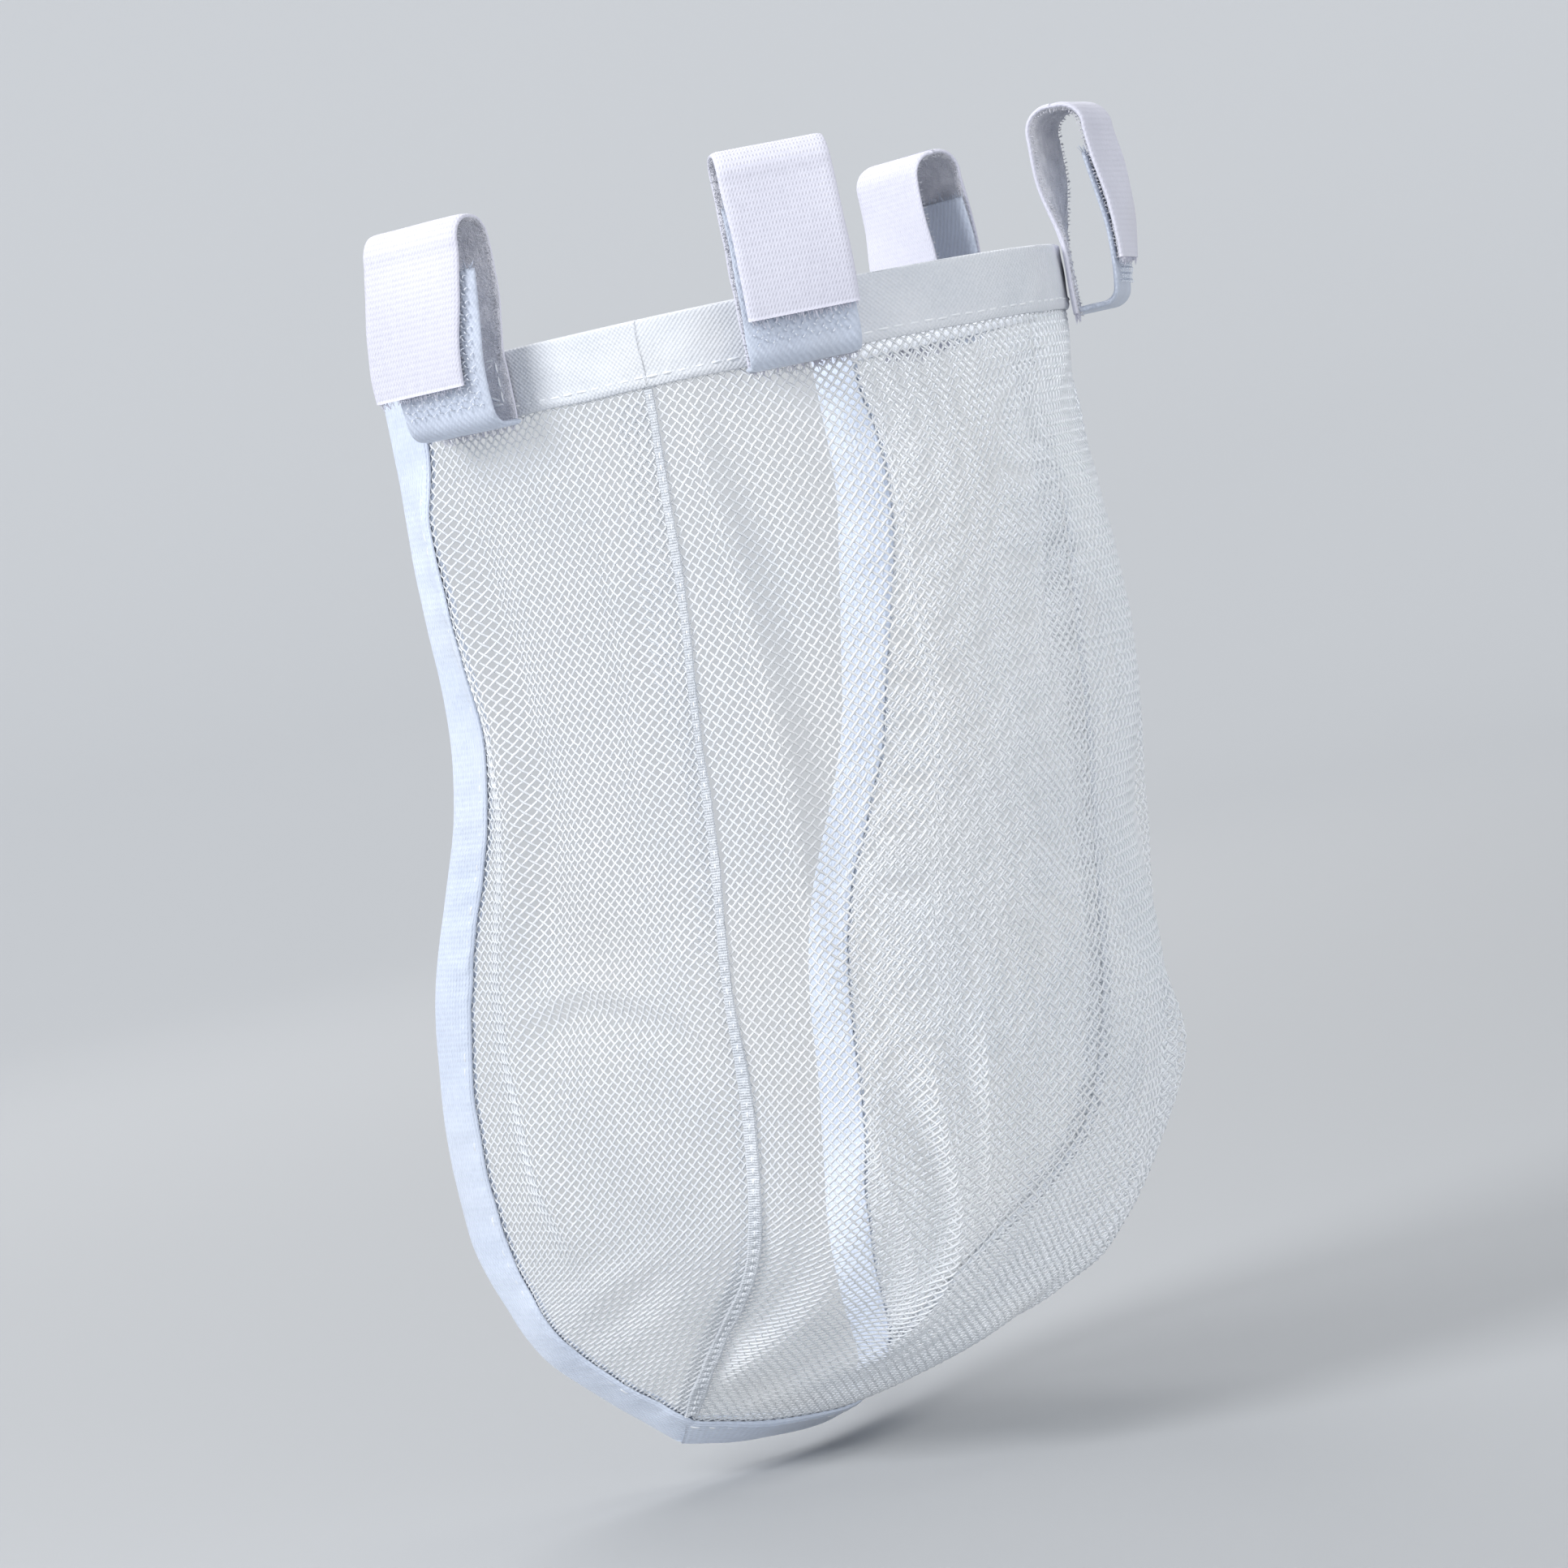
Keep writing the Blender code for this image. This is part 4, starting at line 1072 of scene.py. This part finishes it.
def fray(build, frame_t, x0, point, way, seed, count=80, length=(0.5, 1.7)):
    """Loose yarn ends at a square-cut tape end: x0 is across, point and way are (w, z)."""
    r = np.random.default_rng(seed)
    x = np.sort(r.uniform(-9.7, 9.7, count))
    long_ones = r.uniform(length[0], length[1], count) * np.where(r.uniform(0, 1, count) > 0.85, 1.5, 1.0)
    w = point[0] + r.uniform(-0.4, 0.4, count)
    base = place_tab(frame_t, x0 + x, w, point[1])
    tip = place_tab(frame_t, x0 + x + r.normal(0, 0.35, count), w + way[0] + r.normal(0, 0.22, count), point[1] + way[1])
    d = unit(tip - base)
    rods(build, base + d * (long_ones * 0.35)[:, None], d, place_tab(frame_t, x0 + x, w + 1, point[1]) - base, long_ones, 0.06, 0.08, sides=4)


def fuzz_edges(build, frame_t, pts, nrm, shift, seed, side_in):
    """Pile loops that stand out along both edges of the loop tape."""
    r = np.random.default_rng(seed)
    n = len(pts)
    for sgn in (-1, 1):
        i = r.integers(0, n, n * 4)
        x = sgn * (TAPE_W / 2 - r.uniform(0.3, 1.2, len(i))) + shift[i]
        w, z = pts[i, 0] + nrm[i, 0] * side_in * 0.6, pts[i, 1] + nrm[i, 1] * side_in * 0.6
        c = place_tab(frame_t, x, w, z)
        inward = place_tab(frame_t, x, w + nrm[i, 0] * side_in, z + nrm[i, 1] * side_in) - c
        across = unit(place_tab(frame_t, x + 1, w, z) - c)
        d = unit(inward * 0.8 + across * sgn * r.uniform(0.2, 1.2, len(i))[:, None] + r.normal(0, 0.35, (len(i), 3)))
        rods(build, c + d * 0.15, d, np.cross(d, across) + 0.01, r.uniform(0.5, 1.0, len(i)), 0.055, 0.12, sides=4, mat=1)


def hook_field(name, frame_t, path, seed, offset):
    """Rows of tiny bent hooks standing on the outer face of the hook tail."""
    pts, s = resample(path, 1.15)
    tan = np.gradient(pts, axis=0)
    tan = tan / np.linalg.norm(tan, axis=-1, keepdims=True)
    nrm = np.stack([tan[:, 1], -tan[:, 0]], -1)
    r = np.random.default_rng(seed)
    xs = np.linspace(-8.0, 8.0, 13) + offset
    rows = []
    for i in range(len(pts)):
        for k, x in enumerate(xs):
            rows.append((i, x + 0.55 * ((i % 2) - 0.5), 1 if (i + k) % 2 else -1))
    i = np.array([q[0] for q in rows])
    x = np.array([q[1] for q in rows]) + r.normal(0, 0.06, len(rows))
    way = np.array([q[2] for q in rows])
    w, z = pts[i, 0] + nrm[i, 0] * 0.5, pts[i, 1] + nrm[i, 1] * 0.5
    base = place_tab(frame_t, x, w, z)
    up = unit(place_tab(frame_t, x, w + nrm[i, 0] * 0.1, z + nrm[i, 1] * 0.1) - base)
    fwd = unit(place_tab(frame_t, x, w + tan[i, 0] * 0.1, z + tan[i, 1] * 0.1) - base)
    across = unit(place_tab(frame_t, x + 0.1, w, z) - base)
    lean = unit(fwd * way[:, None] + across * 0.8 + r.normal(0, 0.12, (len(rows), 3)))
    lean = unit(lean - up * (lean * up).sum(-1, keepdims=True))
    side = np.cross(lean, up)
    prof = ((0.0, -0.1, 1.2), (0.0, 0.35, 1.0), (0.10, 0.62, 0.95), (0.34, 0.74, 0.9), (0.56, 0.62, 0.75), (0.62, 0.45, 0.35))
    angle = np.arange(5) * 2 * math.pi / 5
    rings = []
    for f, u, thin in prof:
        c = base + lean * f * 1.05 + up * u * 0.92
        rings.append(c[:, None] + 0.155 * thin * (side[:, None] * np.cos(angle)[:, None] + (up * 0.6 + lean * 0.5)[:, None] * np.sin(angle)[:, None]))
    v = np.stack(rings, 1)
    m, n = len(prof), 5
    one = np.arange(m * n).reshape(m, n)
    nxt = np.roll(one, -1, axis=1)
    quads = np.stack([one[:-1], nxt[:-1], nxt[1:], one[1:]], -1).reshape(-1, 4)
    quads = (quads[None] + (np.arange(len(rows)) * m * n)[:, None, None]).reshape(-1, 4)
    caps = np.array([[one[-1, 0], one[-1, j], one[-1, j + 1]] for j in range(1, n - 1)])
    tris = (caps[None] + (np.arange(len(rows)) * m * n)[:, None, None]).reshape(-1, 3)
    flat = v.reshape(-1, 3)
    b = Build()
    b.add(flat, quads, np.stack([flat[quads][..., 0], flat[quads][..., 2]], -1), tris)
    return b.object(name, [mat_hooks])


TABS = {
    "inner_left": dict(base="net", seed=300, skew=0.8, hook=-0.6, twist=-15),
    "inner_right": dict(base="net", seed=320, skew=-0.4, hook=0.3, twist=2),
    "outer_left": dict(base="side_left", seed=340, skew=-1.0, hook=0.5, twist=-8),
    "outer_right": dict(base="side_right", seed=360, skew=2.4, hook=-1.4, twist=14),
}
for tab, info in TABS.items():
    swing, peel = JOINTS[f"tab_{tab}_swing"], JOINTS[f"tab_{tab}_peel"]
    across = unit(np.array(swing["axis"], float))
    out_n = np.cross(np.array([0, 0, 1.0]), across)
    origin = np.array(swing["pos_m"], float) / MM - out_n * 1.15 - np.array([0, 0, 10.15])
    frame_t = (origin, out_n, across, info["twist"])
    seed = info["seed"]
    base = info["base"]

    def at(w, z, x=0.0):
        return tuple((origin + out_n * w + across * x + np.array([0, 0, z])) * MM)

    turn = 4.3
    top = BRIDGE_Z + 0.25
    lens = lambda z: 1.5 * np.sin(math.pi * np.clip((z + 1.0) / 30.0, 0, 1))  # the noseband's padded front pushes the tapes out
    back = [(BACK_LEG, -3.4), (BACK_LEG, top - turn)]
    split = 6.7
    path_a = np.concatenate([back, arc_points(BACK_LEG + turn, top - turn, turn, 180, 90, 10)[1:], [(split, top)]])
    len_a = resample(path_a, 0.7)[1][-1]
    drop = np.linspace(top - turn, 5.0, 26)
    over = arc_points(FLAP_LEG - turn, top - turn, turn, 90, 0, 12)
    path_b = np.concatenate([[(split, top)], over, np.stack([FLAP_LEG + lens(drop) - lens(top - turn) * step((drop - 22) / 9), drop], -1)[1:]])

    def skew_b(s, k=info["skew"]):
        return k * step((s - len_a - 2) / 30.0)

    def skew_h(s, k=info["hook"]):
        return k * (1 - step((s - 0.0) / 34.0) * 0.6)

    piece = tape_piece(f"strap_tape_{tab}", frame_t, path_a, [mat_loop, mat_pile], seed, fuzz=0.10, cut_start=True)
    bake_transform(piece)
    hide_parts("loop_strap_" + tab, "tab_foot_" + tab)
    piece = tape_piece(f"flap_tape_{tab}", frame_t, path_b, [mat_loop, mat_pile], seed + 1, fuzz=0.10, skew=skew_b, s0=len_a, cut_end=True)
    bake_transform(piece)
    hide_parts("loop_flap_" + tab)

    rise = np.linspace(0.2, 25.0, 24)
    face = np.stack([HOOK_LEG + lens(rise), rise], -1)
    hook_path = np.concatenate([[(2.15, -2.8), (HOOK_LEG + lens(0.2) - 3.0, -2.8)], arc_points(HOOK_LEG + lens(0.2) - 3.0, 0.2, 3.0, -90, 0, 9)[1:], face[1:]])
    piece = tape_piece(f"hook_tape_{tab}", frame_t, hook_path[::-1], [mat_hook, mat_hook], seed + 2, thick=1.1, gap=0.7, cut_start=True,
                       skew=lambda s, k=info["hook"]: k * np.ones_like(s))
    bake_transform(piece)
    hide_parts("hook_tail_" + tab)
    # the hooks stand on the straight, outward face
    keep = (rise > 0.5) & (rise < 24.4)
    piece = hook_field(f"hooks_{tab}", frame_t, face[keep], seed + 3, info["hook"])
    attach(piece, "hook_" + tab)
    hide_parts("hook_tail_" + tab)
    # box stitching that holds the foot
    b = Build()
    r = np.random.default_rng(seed + 5)
    w_face = BACK_LEG + TAPE_T / 2 + 0.08
    for x0, z0, x1, z1 in ((-8, 0.6, 8, 0.6), (8, 0.6, 8, 8.6), (8, 8.6, -8, 8.6), (-8, 8.6, -8, 0.6), (-7.4, 1.2, 7.4, 8.0), (-7.4, 8.0, 7.4, 1.2)):
        length = math.hypot(x1 - x0, z1 - z0)
        n = max(2, int(round(length / 2.7)))
        k = (np.arange(n) + 0.5) / n
        x, z = x0 + (x1 - x0) * k, z0 + (z1 - z0) * k
        c = origin + across * x[:, None] + out_n * w_face + np.array([0, 0, 1.0]) * z[:, None]
        d = across * (x1 - x0) + np.array([0, 0, 1.0]) * (z1 - z0)
        rods(b, c, np.broadcast_to(d, c.shape) + r.normal(0, 0.05, c.shape), np.broadcast_to(out_n, c.shape), 0.84 * length / n, 0.21, 0.3)
    piece = b.object(f"foot_stitches_{tab}", [mat_thread])
    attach(piece, base)
    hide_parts("stitch_box_" + tab)


# --------------------------------------------------------------------------------------------------------- the stage
def floor_bowl():
    """A pale studio floor that sweeps up into a wall all round."""
    profile = [(0.0, 0.0), (0.8, 0.0), (1.6, 0.0)] + [
        (1.6 + 1.0 * math.sin(a), 1.0 - 1.0 * math.cos(a)) for a in np.linspace(0.1, math.pi / 2, 14)
    ] + [(2.6, 2.0), (2.6, 3.2)]
    low = CAD_LO.z - 0.004
    verts, faces = [], []
    n = 96
    for r, z in profile:
        for k in range(n):
            a = 2 * math.pi * k / n
            verts.append((r * math.cos(a), r * math.sin(a), low + z))
    for i in range(len(profile) - 1):
        for k in range(n):
            j = (k + 1) % n
            faces.append((i * n + k, i * n + j, (i + 1) * n + j, (i + 1) * n + k))
    me = bpy.data.meshes.new("studio_floor")
    me.from_pydata(verts, [], faces)
    me.shade_smooth()
    m = bpy.data.materials.new("studio_paper")
    m.use_nodes = True
    tree = m.node_tree
    b = tree.nodes["Principled BSDF"]
    noise = node(tree, "ShaderNodeTexNoise", Scale=3.0, Detail=4.0)
    ramp = node(tree, "ShaderNodeValToRGB")
    ramp.color_ramp.elements[0].color = (0.405, 0.417, 0.432, 1)
    ramp.color_ramp.elements[1].color = (0.435, 0.447, 0.462, 1)
    tree.links.new(noise.outputs["Fac"], ramp.inputs["Fac"])
    tree.links.new(ramp.outputs["Color"], b.inputs["Base Color"])
    b.inputs["Roughness"].default_value = 0.85
    b.inputs["Specular IOR Level"].default_value = 0.2
    co = node(tree, "ShaderNodeTexCoord")
    far = node(tree, "ShaderNodeVectorMath", operation="LENGTH")
    tree.links.new(co.outputs["Object"], far.inputs[0])
    lift = node(tree, "ShaderNodeMapRange", interpolation_type="SMOOTHSTEP")
    lift.inputs["From Min"].default_value = 0.45
    lift.inputs["From Max"].default_value = 2.6
    lift.inputs["To Max"].default_value = 0.33
    tree.links.new(far.outputs["Value"], lift.inputs["Value"])
    b.inputs["Emission Color"].default_value = (0.93, 0.96, 1.0, 1)
    tree.links.new(lift.outputs["Result"], b.inputs["Emission Strength"])
    me.materials.append(m)
    ob = bpy.data.objects.new("studio_floor", me)
    bpy.context.scene.collection.objects.link(ob)
    ob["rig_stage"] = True


floor_bowl()

lo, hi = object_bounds()
centre = (lo + hi) / 2


def area(name, azimuth, elevation, distance, size, power, colour=(1, 1, 1)):
    a, e = math.radians(azimuth), math.radians(elevation)
    back = Vector((math.sin(a) * math.cos(e), -math.cos(a) * math.cos(e), math.sin(e)))
    data = bpy.data.lights.new(name, "AREA")
    data.shape = "DISK"
    data.size = size
    data.energy = power
    data.color = colour
    ob = bpy.data.objects.new(name, data)
    ob.location = centre + back * distance
    ob.rotation_mode = "QUATERNION"
    ob.rotation_quaternion = back.to_track_quat("Z", "Y")
    bpy.context.scene.collection.objects.link(ob)


area("key", -105, 34, 1.5, 0.8, 16.5, (0.985, 0.99, 1.0))
area("front_fill", -15, 15, 1.6, 1.2, 7.5, (1.0, 0.985, 0.96))
area("rim", 150, 40, 1.5, 0.9, 8, (1.0, 0.98, 0.96))
area("top", 0, 88, 1.7, 1.4, 5)

world = bpy.data.worlds.new("studio")
bpy.context.scene.world = world
world.use_nodes = True
world.node_tree.nodes["Background"].inputs["Color"].default_value = (0.95, 0.97, 1.0, 1)
world.node_tree.nodes["Background"].inputs["Strength"].default_value = 0.50
bpy.context.scene.view_settings.view_transform = "Standard"

AZ, EL, ROLL = math.radians(-45), math.radians(3), math.radians(11.5)
back = Vector((math.sin(AZ) * math.cos(EL), -math.cos(AZ) * math.cos(EL), math.sin(EL)))
right = (-back).cross(Vector((0, 0, 1))).normalized()
up = right.cross(-back)
cam_right = right * math.cos(ROLL) - up * math.sin(ROLL)
cam_up = right * math.sin(ROLL) + up * math.cos(ROLL)
cam = bpy.data.cameras.new("camera")
cam.lens = 120
cam.sensor_width = 36
ob = bpy.data.objects.new("camera", cam)
bpy.context.scene.collection.objects.link(ob)
corners = [Vector((x, y, z)) - centre for x in (lo.x, hi.x) for y in (lo.y, hi.y) for z in (lo.z, hi.z)]
pts = []
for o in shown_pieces():
    if len(o.data.vertices) > 20000 or "binding" in o.name or "tape" in o.name:
        co = np.zeros(len(o.data.vertices) * 3, np.float32)
        o.data.vertices.foreach_get("co", co)
        pts.append(co.reshape(-1, 3)[::7])
pts = np.concatenate(pts)
px, py = pts @ np.array(cam_right), pts @ np.array(cam_up)
aim_x, aim_y = (px.min() + px.max()) / 2, (py.min() + py.max()) / 2
span = max(px.max() - px.min(), py.max() - py.min())
target = cam_right * float(aim_x) + cam_up * float(aim_y) + back * centre.dot(back)
distance = span / 0.86 / (36 / 120)
place = target + back * distance
ob.matrix_world = Matrix((
    (cam_right.x, cam_up.x, back.x, place.x),
    (cam_right.y, cam_up.y, back.y, place.y),
    (cam_right.z, cam_up.z, back.z, place.z),
    (0, 0, 0, 1),
))
cam.clip_start, cam.clip_end = 0.01, 20
bpy.context.scene.camera = ob

lo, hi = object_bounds()
